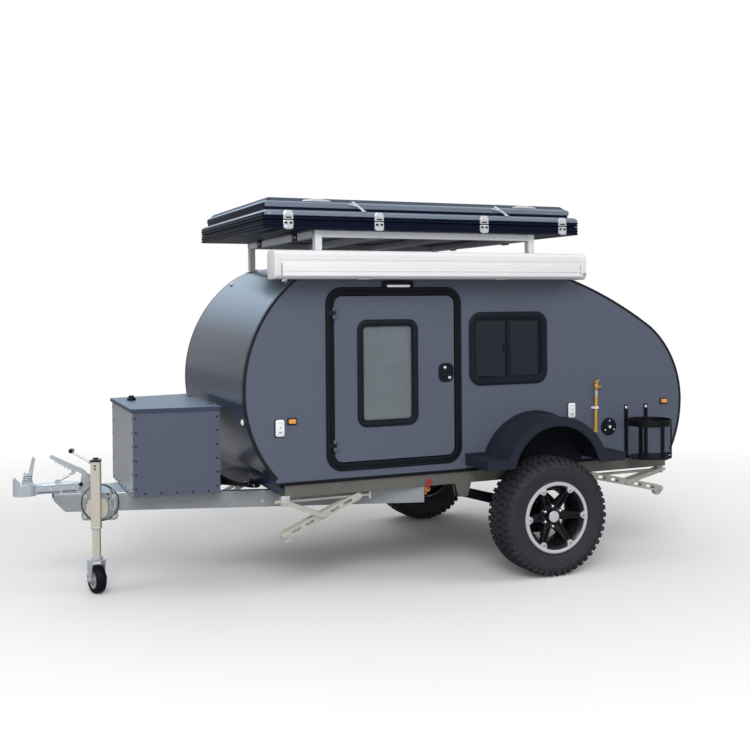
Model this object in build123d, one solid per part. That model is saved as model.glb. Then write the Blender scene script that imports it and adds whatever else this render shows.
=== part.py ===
from build123d import *
import math
import os

os.makedirs("parts", exist_ok=True)

# Millimetres. X runs forward from the axle, Y to the left, Z up from the floor.
# Everything is moved at the end so that the origin lies under the middle of the length.
NOSE_X = 2912
TAIL_X = -1108
MID_X = (NOSE_X + TAIL_X) / 2
FAR = 9000

# Cabin
HALF_WIDTH = 760
WALL = 30
WALL_IN = HALF_WIDTH - WALL
SKIN = 25
SILL_TOP = 615
FLOOR = 15
WALL_FOOT = SILL_TOP + FLOOR
SEAM_FRONT_X = 1400
SEAM_HATCH_X = -275
HATCH_FOOT = 780
HATCH_GAP = 8
ROOF_TOP = 1850
OUTLINE = (
    # x, z, bow of the arc to the next point
    (1600, 574, 0),
    (1612, 650, 46.5),
    (1792, 1130, 76.3),
    (1501, 1747, 26.6),
    (1214, ROOF_TOP, 0),
    (291, ROOF_TOP, 24.6),
    (-279, 1752, 21.1),
    (-870, 1453, 60.5),
    (TAIL_X, 985, 20.5),
    (-1027, 650, 0),
    (-1022, 574, 0),
)

# Doors and windows in the side wall: x rear, x front, z low, z high, corner radius
DOOR_HOLE = (487, 1316, 677, 1698, 90)
DOOR_FRAME_IN = 37
DOOR_GAP = 8
DOOR_PROUD = 6
DOOR_WINDOW = (762, 1137, 910, 1520, 60)
SIDE_WINDOW = (-102, 430, 1118, 1555, 75)
WINDOW_LIP = 13
WINDOW_BAND = 38
GLASS = 5
PIN_FIT = 0.4
TOUCH = 0.1
DOOR_HINGE = (1276, HALF_WIDTH + 20, 9)
DOOR_HINGE_Z = (820, 1560)
HATCH_HINGE = (-279, 1767, 9)
BOX_HINGE = (1832, 1034, 7)
TENT_HINGE_OUT = 9

# Frame below
SILL_WIDTH = 50
SILL_OUT = HALF_WIDTH - 10
SILL_FOOT = 545
CROSS_X = (1510, 950, 400, -330, -990)
SILL_FRONT = 1560
SILL_REAR = -990
RAIL_FOOT = 450
RAIL_WIDTH = 50
RAIL_NOSE = (2700, 75)
RAIL_TAIL = (720, SILL_OUT - 5)
NOSE_CUT = (57, 62)
CUP_TOP = 604
LIP_TOP = 643
BRAKE_PIVOT = (2509, 600)
GRIP_END = (2710, 752)

# Wheels
TYRE_R = 348
TYRE_WIDTH = 235
TRACK = 2 * (HALF_WIDTH + 169)
RIM_R = 190
RING_R = 211
STUB_R = 30
HUB_FIT = 0.4
ARM_PIVOT = (470, 500)

# Wheel arches
ARCH_X = -8
ARCH_Z = 592
ARCH_R = 345
ARCH_LIP = 53
ARCH_DEEP = 290
FOOT_X = 469
FOOT_Z = (655, 705)

# Roof load
RACK_HIGH = 174
RACK_TOP = ROOF_TOP + RACK_HIGH
TUBE = 40
RACK_X = (-37, 1366)
FOOT_PLATE = 8
RACK_Y = HALF_WIDTH - 42
AWNING_IN = HALF_WIDTH + 20
AWNING_DEEP = 145
AWNING = (-250, 1645, AWNING_IN, AWNING_IN + AWNING_DEEP, 1747, 1901)
TENT_X = (-327, 1671)
TENT_Y = HALF_WIDTH + 28
BASE_HIGH = 46
SHELL_HIGH = 44
TRAY_HIGH = 91
TRAY_BEVEL = 30
TRAY_IN = (25, 80)
CROWN_IN = (55, 130)
LID_GAP = 5
SHEET_METAL = 6

# Gas pipe: x and z of its foot, x and z of its top
PIPE_RUN = (-444, 799, -450, 1026)
PIPE_R = 9
PIPE_OUT = 13

# Toolbox
BOX_X = (1850, 2316)
BOX_HALF = (470, 389)
BOX_FOOT = SILL_FOOT
BOX_TOP = 1028
SHEET = 4

# Steadies: x of fixed pivot, x of the nut, link length
STEADY_Z = 519
STEADY_Y = SILL_OUT - 35
LEG_WIDE = 42
LEG_END = 72
SLOT_SHARES = (0.15, 0.33, 0.67, 0.85)
STEADIES = {
    "front": (1556, 1126, 234),
    "rear": (-960, -438, 268),
}

# Jockey wheel
JOCKEY_X = 2473
JOCKEY_R = 80
JOCKEY_PIVOT_Z = 470
JOCKEY_OUT = 50
JOCKEY_TRAVEL = 150
JOCKEY_TOP = 750
JOCKEY_LOW = 362
CRANK_REACH = 131
JOCKEY_TURN = -55

# Breakaway cable, in the frame of the jockey bracket: along the rail, out from it, up
CABLE = 5
LOOP_X = -14
LOOP_Z = 500
LOOP_R = 105
LOOP_Y = (11, 17.5)
CABLE_START = (
    (67, -115, 598),
    (56, -88, 598),
    (44, -60, 599),
    (29, -33, 601),
    (6, -8, 603),
)
CABLE_END = (
    (-69, 17.5, 583),
    (-84, 17.5, 560),
    (-84, 17.5, 534),
)

RAIL_ANGLE = math.degrees(math.atan2(RAIL_TAIL[1] - RAIL_NOSE[1], RAIL_NOSE[0] - RAIL_TAIL[0]))
JOCKEY_ROOT_Y = RAIL_NOSE[1] + (RAIL_NOSE[0] - JOCKEY_X) * math.tan(math.radians(RAIL_ANGLE))


def save(name, shape):
    """Write one piece with the origin moved under the middle of the length."""
    solids = [Pos(-MID_X, 0, 0) * s for s in shape.solids()]
    piece = solids[0] if len(solids) == 1 else Compound(children=solids)
    piece.label = name
    export_step(piece, f"parts/{name}.step")


def box(x0, x1, y0, y1, z0, z1):
    """Block between two corners."""
    size = (abs(x1 - x0), abs(y1 - y0), abs(z1 - z0))
    return Pos((x0 + x1) / 2, (y0 + y1) / 2, (z0 + z1) / 2) * Box(*size)


def slab(face, y0, y1):
    """Side view face, x and z, made solid from y0 up to y1."""
    return extrude(Plane((0, y1, 0), x_dir=(1, 0, 0), z_dir=(0, -1, 0)) * face, amount=y1 - y0)


def plan(face, z0, z1):
    """Plan view face made solid from z0 up to z1."""
    return extrude(Plane((0, 0, z0)) * face, amount=z1 - z0)


def front(face, x0, x1):
    """Front view face, y and z, made solid from x0 up to x1."""
    return extrude(Plane((x0, 0, 0), x_dir=(0, 1, 0), z_dir=(1, 0, 0)) * face, amount=x1 - x0)


def rect(x0, x1, z0, z1, radius=0):
    """Rectangle between limits with rounded corners."""
    width, height = x1 - x0, z1 - z0
    shape = RectangleRounded(width, height, radius) if radius else Rectangle(width, height)
    return Pos((x0 + x1) / 2, (z0 + z1) / 2) * shape


def inset(limits, by):
    """Same rounded rectangle, smaller by a margin."""
    x0, x1, z0, z1, radius = limits
    return rect(x0 + by, x1 - by, z0 + by, z1 - by, radius - by)


def poly(*points):
    """Flat face with straight sides."""
    return make_face(Polyline(*points, close=True))


def rod(p, q, radius):
    """Round bar between two points."""
    a, b = Vector(*p), Vector(*q)
    return extrude(Plane(origin=a, z_dir=(b - a).normalized()) * Circle(radius), amount=(b - a).length)


def bar(p, q, width, over=0):
    """Side view strip with round ends between two points."""
    a, b = Vector(*p), Vector(*q)
    run = b - a
    angle = math.degrees(math.atan2(run.Y, run.X))
    middle = (a + b) * 0.5
    return Pos(middle.X, middle.Y) * Rot(0, 0, angle) * SlotOverall(run.length + width + 2 * over, width)


def disc(x, z, radius):
    """Side view disc."""
    return Pos(x, z) * Circle(radius)


def both(shape):
    """The piece and its mirror image on the right."""
    return shape + mirror(shape, about=Plane.XZ)


def outline():
    """Side view of the whole cabin."""
    edges = []
    count = len(OUTLINE)
    for index, (x, z, bow) in enumerate(OUTLINE):
        nx, nz, _ = OUTLINE[(index + 1) % count]
        edges.append(SagittaArc((x, z), (nx, nz), -bow) if bow else Line((x, z), (nx, nz)))
    return make_face(edges)


def ring(limits, band, y0, y1):
    """Rounded frame of one width."""
    return slab(inset(limits, 0) - inset(limits, band), y0, y1)


def knuckles(place, spots, radius, fixed_leaf, moving_leaf):
    """Butt hinges along the local Y axis: the fixed half and the moving half with its pin.

    The leaves are side view faces around the axis at the origin.
    """
    pin = radius * 0.45
    fixed = moving = None
    for y in spots:
        half = slab(Circle(radius), y - 10, y + 10) + slab(fixed_leaf, y - 10, y + 10)
        half -= slab(Circle(pin + PIN_FIT), y - 11, y + 11)
        fixed = half if fixed is None else fixed + half
        for y0, y1 in ((y - 31, y - 12), (y + 12, y + 31)):
            half = slab(Circle(radius), y0, y1) + slab(moving_leaf, y0, y1)
            moving = half if moving is None else moving + half
        moving += slab(Circle(pin), y - 31, y + 31)
    return place * fixed, place * moving


CABIN = outline()
HOLLOW = offset(CABIN, -SKIN)
BODY = slab(CABIN, -HALF_WIDTH, HALF_WIDTH)
NEAR_BODY = slab(offset(CABIN, TOUCH), -HALF_WIDTH, HALF_WIDTH)


def make_walls():
    """Side walls with the door and window cut."""
    face = CABIN - rect(-FAR, FAR, 0, WALL_FOOT)
    wall = slab(face, WALL_IN, HALF_WIDTH)
    wall -= slab(inset(DOOR_HOLE, 0), WALL_IN - 1, HALF_WIDTH + 1)
    wall -= slab(inset(SIDE_WINDOW, WINDOW_LIP), WALL_IN - 1, HALF_WIDTH + 1)
    save("left_wall", wall)
    save("right_wall", mirror(wall, about=Plane.XZ))


def make_skin():
    """Front, roof and rear skins, the rear hatch and the floor."""
    shell = slab(CABIN - HOLLOW, -WALL_IN, WALL_IN)
    shell -= box(SILL_REAR, SILL_FRONT, -WALL_IN, WALL_IN, 500, SILL_TOP + FLOOR)
    save("front_panel", shell & box(SEAM_FRONT_X, FAR, -FAR, FAR, 0, FAR))
    save("roof_panel", shell & box(SEAM_HATCH_X, SEAM_FRONT_X, -FAR, FAR, HATCH_FOOT, FAR))
    save("rear_panel", shell & box(-FAR, SEAM_HATCH_X, -FAR, FAR, 0, HATCH_FOOT - HATCH_GAP))
    side = HATCH_GAP
    hatch = slab(CABIN - offset(CABIN, -SKIN), -WALL_IN + side, WALL_IN - side)
    hatch &= box(-FAR, SEAM_HATCH_X - HATCH_GAP, -FAR, FAR, HATCH_FOOT, FAR)
    hx, hz, hr = HATCH_HINGE
    spots = (-600, -200, 200, 600)
    over = poly((0, 5), (50, 24), (50, -2), (0, -18))
    under = poly((-4, 4), (-52, -14), (-52, -36), (-4, -20))
    fixed, moving = knuckles(Pos(hx, 0, hz), spots, hr, over, under)
    save("hatch_hinges", fixed - NEAR_BODY)
    save("galley_hatch", hatch + moving)
    floor = box(SILL_REAR, SILL_FRONT, -SILL_OUT + 5, SILL_OUT - 5, SILL_TOP, WALL_FOOT)
    save("cabin_floor", floor)


def make_doors():
    """Door frames, doors and their windows."""
    frame = slab(inset(DOOR_HOLE, 0) - inset(DOOR_HOLE, DOOR_FRAME_IN), WALL_IN, HALF_WIDTH + 10)
    hx, hy, hr = DOOR_HINGE
    face = HALF_WIDTH + 10 - hy
    leaf_face = HALF_WIDTH + DOOR_PROUD - hy
    over = poly((0, face), (30, face), (30, face + 4), (0, face + 12))
    under = poly((-6, leaf_face), (-40, leaf_face), (-40, leaf_face + 4), (-14, leaf_face + 6), (-6, 4))
    upright = Location((hx, hy, 0), (-90, 0, 0))
    fixed, moving = knuckles(upright, [-z for z in DOOR_HINGE_Z], hr, over, under)
    save("door_frames", both(frame + fixed))
    leaf_in = DOOR_FRAME_IN + DOOR_GAP
    out = HALF_WIDTH + DOOR_PROUD
    leaf = slab(inset(DOOR_HOLE, leaf_in), WALL_IN + 6, out)
    leaf -= slab(inset(DOOR_WINDOW, WINDOW_LIP), 0, FAR)
    leaf += moving
    band = ring(DOOR_WINDOW, WINDOW_BAND, out, out + 6)
    hole = DOOR_WINDOW
    sleeve = slab(inset(hole, WINDOW_LIP) - inset(hole, WINDOW_BAND), WALL_IN + 6, out)
    window = band + sleeve
    glass = slab(inset(DOOR_WINDOW, WINDOW_BAND), out - 14, out - 14 + GLASS)
    for side, flip in (("left", False), ("right", True)):
        for name, shape in (("door", leaf), ("door_window", window), ("door_glass", glass)):
            piece = mirror(shape, about=Plane.XZ) if flip else shape
            save(f"{side}_{name}", piece)


def make_side_windows():
    """Sliding windows: frame with a middle bar, and two panes."""
    limits = SIDE_WINDOW
    out = HALF_WIDTH
    frame = ring(limits, WINDOW_BAND, out, out + 8)
    frame += slab(inset(limits, WINDOW_LIP) - inset(limits, WINDOW_BAND), WALL_IN, out)
    middle = (limits[0] + limits[1]) / 2
    post = slab(rect(middle - 12, middle + 12, limits[2] + 20, limits[3] - 20), out - 18, out + 4)
    frame += post & slab(inset(limits, WINDOW_BAND - 2), 0, FAR)
    glass = slab(inset(limits, WINDOW_BAND), out - 14, out - 14 + GLASS)
    glass -= slab(rect(middle - 12, middle + 12, 0, FAR), 0, FAR)
    save("side_window_frames", both(frame))
    save("side_window_panes", both(glass))


def make_chassis():
    """Sill rails, cross members, drawbar and coupling."""
    sill = box(SILL_REAR, SILL_FRONT, SILL_OUT - SILL_WIDTH, SILL_OUT, SILL_FOOT, SILL_TOP)
    frame = both(sill)
    inner = SILL_OUT - SILL_WIDTH
    for x in CROSS_X:
        frame += box(x, x + 50, -inner, inner, SILL_FOOT, SILL_TOP)
    x = ARM_PIVOT[0]
    cheek = poly((x - 55, SILL_FOOT + 8), (x + 55, SILL_FOOT + 8), (x + 30, 465), (x - 30, 465))
    for y in (SILL_OUT - SILL_WIDTH - 4, SILL_OUT - 4):
        frame += both(slab(cheek, y, y + 6))
    save("chassis_frame", frame)

    nx, ny = RAIL_NOSE
    tx, ty = RAIL_TAIL
    rail = plan(poly((nx, ny), (tx, ty), (tx, ty - RAIL_WIDTH), (nx, ny - RAIL_WIDTH)), RAIL_FOOT, SILL_FOOT)
    cut_x, cut_z = NOSE_CUT
    rail -= slab(poly((nx - cut_x, RAIL_FOOT), (nx + 1, RAIL_FOOT), (nx + 1, RAIL_FOOT + cut_z)), 0, FAR)
    bar_frame = both(rail)
    bar_frame += box(2600, nx - cut_x, -60, 60, RAIL_FOOT, SILL_FOOT)
    bar_frame += box(1820, 1870, -320, 320, RAIL_FOOT + 20, SILL_FOOT)
    top = plan(poly((2700, 70), (2320, 190), (2320, -190), (2700, -70)), SILL_FOOT, SILL_FOOT + 6)
    bar_frame += top
    save("drawbar", bar_frame)

    deck = SILL_FOOT + 6
    cup = Pos(2851, 0) * RectangleRounded(122, 112, 40)
    head = plan(cup, SILL_FOOT, CUP_TOP)
    lip = slab(poly((2868, CUP_TOP - 1), (2913, CUP_TOP - 1), (2913, LIP_TOP), (2902, LIP_TOP)), -60, 60)
    head += lip & plan(cup - offset(cup, -8), CUP_TOP - 2, LIP_TOP)
    head += box(2560, 2800, -38, 38, deck, 598)
    head += slab(poly((2806, CUP_TOP - 1), (2866, CUP_TOP - 1), (2852, 672), (2816, 676)), -20, 20)
    for y in (-16, 10):
        head += slab(poly((2812, 640), (2835, 640), (2808, 759), (2794, 755)), y, y + 6)
    head -= Pos(2856, 0, 570) * Sphere(25.5)
    head -= rod((2856, 0, 530), (2856, 0, 570), 25.5)
    for y in (-16, 10):
        head += slab(poly((2660, 598), (2692, 598), (2684, 622), (2668, 622)), y + 1, y + 5)
    save("coupler_head", head)

    px, pz = BRAKE_PIVOT
    quadrant = slab(poly((px - 39, deck), (px + 46, deck), (px + 31, pz + 40), (px - 19, pz + 40)), 16, 21)
    brake = both(quadrant)
    brake += rod((px, -21, pz), (px, 21, pz), 7)
    gx, gz = GRIP_END
    arm = make_face([
        ThreePointArc((px - 16, pz), (px + 4, pz + 50), (px + 52, pz + 86)),
        Line((px + 52, pz + 86), (gx - 5, gz + 12)),
        ThreePointArc((gx - 5, gz + 12), (gx + 6, gz + 2), (gx + 2, gz - 8)),
        Line((gx + 2, gz - 8), (px + 70, pz + 62)),
        ThreePointArc((px + 70, pz + 62), (px + 30, pz + 36), (px + 16, pz)),
        ThreePointArc((px + 16, pz), (px, pz - 16), (px - 16, pz)),
    ])
    lever = slab(arm - disc(px, pz, 7.4), -7, 7)
    grip = Vector(gx - px - 70, gz - pz - 70)
    slope = math.degrees(math.atan2(grip.Y, grip.X))
    for k in range(6):
        tooth = Pos(px + 88 + k * 17, pz + 71 + k * 17 * grip.Y / grip.X) * Rot(0, 0, slope) * Rectangle(9, 12)
        lever += slab(tooth, -11, 11)
    save("handbrake_lever", lever)
    low, high = Vector(2676, 614), Vector(px + 78, pz + 56)
    run = high - low
    knee = low + run * 0.62
    strut = rod((low.X, 0, low.Y), (knee.X, 0, knee.Y), 9)
    strut += rod((knee.X, 0, knee.Y), (high.X - 8, 0, high.Y - 4), 4)
    strut += rod((low.X, -11, low.Y), (low.X, 11, low.Y), 5)
    strut -= slab(arm, -7.2, 7.2)
    strut += slab(disc(high.X, high.Y, 9), 7, 10) + slab(disc(high.X, high.Y, 9), -10, -7)
    strut += slab(bar((high.X, high.Y), (high.X + 22, high.Y - 10), 8), 7, 10)
    strut += slab(bar((high.X, high.Y), (high.X + 22, high.Y - 10), 8), -10, -7)
    strut += rod((high.X + 22, -10, high.Y - 10), (high.X + 22, 10, high.Y - 10), 5)
    save("brake_quadrant", brake + strut)


def make_running_gear():
    """Trailing arms with stub axles, springs, tyres and rims."""
    px, pz = ARM_PIVOT
    face = poly((px + 30, pz + 28), (px + 30, pz - 28), (-40, TYRE_R - 35), (-40, TYRE_R + 35))
    inner = SILL_OUT - SILL_WIDTH
    arm = slab(face, inner + 3, SILL_OUT - 5)
    arm += rod((px, SILL_OUT - SILL_WIDTH + 2, pz), (px, SILL_OUT - 4, pz), 22)
    centre = TRACK / 2
    arm += rod((0, SILL_OUT - 5, TYRE_R), (0, centre + 40, TYRE_R), STUB_R)
    arm += rod((0, SILL_OUT - 5, TYRE_R), (0, SILL_OUT + 25, TYRE_R), 70)
    save("trailing_arms", both(arm))
    spring_foot = pz + (60 - px) * (pz - TYRE_R) / (px + 40) + 34
    turns = 4
    pitch = (SILL_FOOT - spring_foot) / turns
    bellows = [(0, spring_foot - 6), (30, spring_foot - 6)]
    for k in range(turns):
        z = spring_foot + k * pitch
        bellows += [(30, z + 2), (46, z + pitch * 0.3), (46, z + pitch * 0.7), (30, z + pitch - 2)]
    bellows += [(30, SILL_FOOT), (0, SILL_FOOT)]
    middle = inner + 24
    coil = revolve(Plane((60, middle, 0), x_dir=(1, 0, 0), z_dir=(0, -1, 0)) * poly(*bellows),
                   Axis((60, middle, 0), (0, 0, 1)))
    coil -= arm
    save("suspension_springs", both(coil))

    half = TYRE_WIDTH / 2
    flank = [
        (RIM_R + 4, 92),
        (TYRE_R - 95, half),
        (TYRE_R - 60, half + 1),
        (TYRE_R - 30, half - 6),
        (TYRE_R - 6, half - 24),
        (TYRE_R, half - 44),
    ]
    cavity = [(TYRE_R - 25, 60), (TYRE_R - 60, half - 30), (RIM_R + 4, 78)]
    edge = flank + [(r, -y) for r, y in reversed(flank)]
    edge += [(r, -y) for r, y in reversed(cavity)] + cavity
    section = poly(*edge)
    place = Pos(0, centre, TYRE_R)
    wheel_plane = Plane(origin=(0, 0, 0), x_dir=(1, 0, 0), z_dir=(0, 0, 1))
    tyre = place * revolve(wheel_plane * section, Axis.Y)
    save("left_tyre", tyre)
    save("right_tyre", mirror(tyre, about=Plane.XZ))

    seat = RIM_R + 4
    barrel = make_face(Polyline(
        (206, -104), (206, -98.5), (seat, -94), (seat, -76), (160, -40), (160, 30), (seat, 76),
        (seat, 94), (201, 99.5), (RING_R, 100.5), (RING_R, 108), (170, 114), (166, 94),
        (148, 40), (148, -44), (178, -80), (178, -104), close=True))
    rim = revolve(wheel_plane * barrel, Axis.Y)
    rim += Rot(-90, 0, 0) * Pos(0, 0, 30) * Cylinder(78, 40)
    rim += Rot(-90, 0, 0) * Pos(0, 0, 62) * Cylinder(36, 50)
    for k in range(6):
        turn = Rot(0, 60 * k, 0)
        for off in (-17, 17):
            spoke = make_face(Polyline((50, 30), (78, 58), (164, 96), (170, 84), (166, 66), (60, 12), close=True))
            rib = Pos(0, 0, off) * Pos(0, 0, -8) * extrude(wheel_plane * spoke, amount=16)
            rim += turn * rib
        tab = Rot(-90, 0, 0) * Pos(160, 0, 101) * Cylinder(20, 18)
        rim += turn * tab
    rim -= Rot(-90, 0, 0) * Pos(0, 0, 0) * Cylinder(STUB_R + HUB_FIT, 100)
    rim = place * rim
    save("left_rim", rim)
    save("right_rim", mirror(rim, about=Plane.XZ))


def make_arches():
    """Deep black wheel arches with flat feet."""
    y0, y1 = HALF_WIDTH, HALF_WIDTH + ARCH_DEEP
    low, high = FOOT_Z
    whole = disc(ARCH_X, ARCH_Z, ARCH_R) + rect(ARCH_X - FOOT_X, ARCH_X + FOOT_X, low, high)
    arch = slab(whole, y0, y1)
    arch -= slab(disc(ARCH_X, ARCH_Z, ARCH_R - 6), y0 - 1, y1 - 20)
    arch -= slab(disc(ARCH_X, ARCH_Z, ARCH_R - ARCH_LIP), y0 - 1, y1 + 1)
    arch -= box(-900, 900, 0, 1200, 0, low)
    save("fenders", both(arch))


def make_roof_load():
    """Roof rack, awning case and the hard shell tent."""
    x0, x1 = RACK_X
    rail = box(x0, x1, RACK_Y - TUBE, RACK_Y, RACK_TOP - TUBE, RACK_TOP)
    rack = both(rail)
    for x in (x0, 440, 905, x1 - TUBE):
        rack += box(x, x + TUBE, -RACK_Y + TUBE, RACK_Y - TUBE, RACK_TOP - TUBE, RACK_TOP)
    for x in (x0, x1 - TUBE):
        post = box(x, x + TUBE, RACK_Y - TUBE, RACK_Y, ROOF_TOP - 70, RACK_TOP - TUBE)
        plate = offset(CABIN, FOOT_PLATE) & rect(x - 14, x + TUBE + 14, ROOF_TOP - 120, FAR)
        post += slab(plate, RACK_Y - TUBE - 14, RACK_Y + 14)
        rack += both(post - BODY)
    for x in (x0, x1 - TUBE):
        rack += box(x, x + TUBE, RACK_Y, RACK_Y + 12, ROOF_TOP, RACK_TOP)
        rack += box(x, x + TUBE, RACK_Y, AWNING_IN, ROOF_TOP, ROOF_TOP + 12)
    save("roof_rack", rack)

    ax0, ax1, ay0, ay1, az0, az1 = AWNING
    case = front(Pos((ay0 + ay1) / 2, (az0 + az1) / 2) * RectangleRounded(ay1 - ay0, az1 - az0, 28), ax0, ax1)
    save("awning_case", case)

    tx0, tx1 = TENT_X
    tray = SHEET_METAL - 1
    base_top = RACK_TOP + BASE_HIGH
    base = plan(rect(tx0, tx1, -TENT_Y, TENT_Y, 40), RACK_TOP, base_top)
    base -= plan(rect(tx0 + tray, tx1 - tray, -TENT_Y + tray, TENT_Y - tray, 35), RACK_TOP + 8, base_top + 1)
    side = TENT_HINGE_OUT
    hinge_y, hinge_z = -TENT_Y - side, base_top + LID_GAP / 2
    over = poly((-side, -30), (-side, -2.6), (0, -2.6), (0, -8), (-side + 4, -30))
    under = poly((-side, 26), (-side, 2.6), (0, 2.6), (0, 8), (-side + 4, 26))
    along = Location((0, hinge_y, hinge_z), (0, 0, -90))
    fixed, moving = knuckles(along, (-100, 350, 990, 1440), 6, over, under)
    save("tent_base", base + fixed)

    low = base_top + LID_GAP
    shell_top = base_top + SHELL_HIGH
    wall = SHEET_METAL
    shell = (tx0, tx1, -TENT_Y, TENT_Y, 40)
    along_in, across_in = TRAY_IN
    top = (tx0 + along_in, tx1 - along_in, -TENT_Y + across_in, TENT_Y - across_in, 30)
    along_in, across_in = CROWN_IN
    crown = (tx0 + along_in, tx1 - along_in, -TENT_Y + across_in, TENT_Y - across_in, 20)
    step = shell_top + TRAY_HIGH - TRAY_BEVEL
    lid = plan(inset(shell, 0), low, shell_top) + plan(inset(top, 0), shell_top, step)
    lid += loft([Plane((0, 0, step)) * inset(top, 0), Plane((0, 0, step + TRAY_BEVEL)) * inset(crown, 0)])
    lid -= plan(inset(shell, wall), low - 1, shell_top - wall)
    lid -= plan(inset(top, wall), shell_top - wall - 1, step)
    lid += moving
    save("tent_lid", lid)


def make_toolbox():
    """Open sheet box on the drawbar and its lid."""
    x0, x1 = BOX_X
    r, f = BOX_HALF
    outer = poly((x0, r), (x1, f), (x1, -f), (x0, -r))
    walls = plan(outer, BOX_FOOT + 6, BOX_TOP) - plan(offset(outer, -SHEET), BOX_FOOT + 6 + SHEET, BOX_TOP + 1)
    walls += plan(outer, BOX_FOOT + 6, BOX_FOOT + 6 + SHEET)
    feet = box(x0 + 20, x0 + 50, 300, 440, BOX_FOOT, BOX_FOOT + 6)
    feet += box(x1 - 50, x1 - 4, 160, 320, BOX_FOOT, BOX_FOOT + 6)
    walls += both(feet)
    hx, hz, hr = BOX_HINGE
    back = x0 - hx
    over = poly((0, -4), (back, -4), (back, -18), (back - 4, -18), (0, -8))
    under = poly((0, 0), (10, 0), (40, 6), (40, 10), (0, 7))
    fixed, moving = knuckles(Pos(hx, 0, hz), (-280, 280), hr, over, under)
    save("toolbox", walls + fixed)
    over = offset(outer, 10, kind=Kind.INTERSECTION)
    clear = offset(outer, 5.2, kind=Kind.INTERSECTION)
    lid = plan(over, BOX_TOP - 8, BOX_TOP + 12) - plan(clear, BOX_TOP - 9, BOX_TOP + 6)
    lid -= box(x0 - 20, x0 + 8, -600, 600, BOX_TOP - 9, BOX_TOP + 6)
    lid += plan(Pos(2232, -180) * Circle(24), BOX_TOP + 12, BOX_TOP + 26)
    lid += plan(Pos(2232, -180) * Circle(15), BOX_TOP + 26, BOX_TOP + 40)
    save("toolbox_lid", lid + moving)


def make_steadies():
    """Four corner steadies: fixed spindle and bracket, link and leg."""
    z = STEADY_Z
    y = STEADY_Y
    fixed = None
    for end, (bx, ux, length) in STEADIES.items():
        way = 1 if bx > ux else -1
        block = slab(rect(bx - 22, bx + 22, z - 20, SILL_FOOT), y - 20, y + 20)
        block += rod((bx, y - 36, z), (bx, y + 36, z), 8)
        end_x = ux - way * LEG_END
        block += rod((bx - way * 20, y, z), (end_x - way * 6, y, z), 8)
        block += slab(rect(end_x - 6, end_x + 6, z - 18, SILL_FOOT), y - 20, y + 20)
        fixed = block if fixed is None else fixed + block
        half = (bx - ux) / 2
        drop = math.sqrt(length ** 2 - half ** 2)
        mid = (bx - half, z - drop)
        foot = (bx, z - 2 * drop)
        link = slab(bar((bx, z), mid, 26) - disc(bx, z, 8.4), y + 28, y + 33)
        link += slab(bar((bx, z), mid, 26) - disc(bx, z, 8.4), y - 33, y - 28)
        link += rod((mid[0], y - 33, mid[1]), (mid[0], y + 33, mid[1]), 6)
        strip = bar((ux, z), foot, LEG_WIDE) - disc(mid[0], mid[1], 6.4)
        run = Vector(foot[0] - ux, foot[1] - z)
        lean = math.degrees(math.atan2(run.Y, run.X))
        for share in SLOT_SHARES:
            spot = Vector(ux, z) + run * share
            strip -= Pos(spot.X, spot.Y) * Rot(0, 0, lean) * SlotOverall(run.length * 0.12, 18)
        leg = slab(strip, y + 18, y + 23) + slab(strip, y - 23, y - 18)
        web = Rectangle(run.length * 0.2, 4)
        for share in (0.42, 0.76):
            spot = Vector(ux, z) + run * share
            sink = -15 if way > 0 else 15
            strip = Pos(spot.X, spot.Y) * Rot(0, 0, lean) * Pos(0, sink) * web
            leg += slab(strip, y - 20, y + 20)
        leg += rod((foot[0], y - 27, foot[1]), (foot[0], y + 27, foot[1]), 8)
        toe = (foot[0] - way * 14, foot[1] - 14)
        leg += rod((toe[0], y - 15, toe[1]), (toe[0], y + 15, toe[1]), 28)
        for side, flip in (("left", False), ("right", True)):
            for name, shape in (("link", link), ("leg", leg)):
                piece = mirror(shape, about=Plane.XZ) if flip else shape
                save(f"{end}_{side}_steady_{name}", piece)
    save("steady_spindles", both(fixed))


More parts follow.
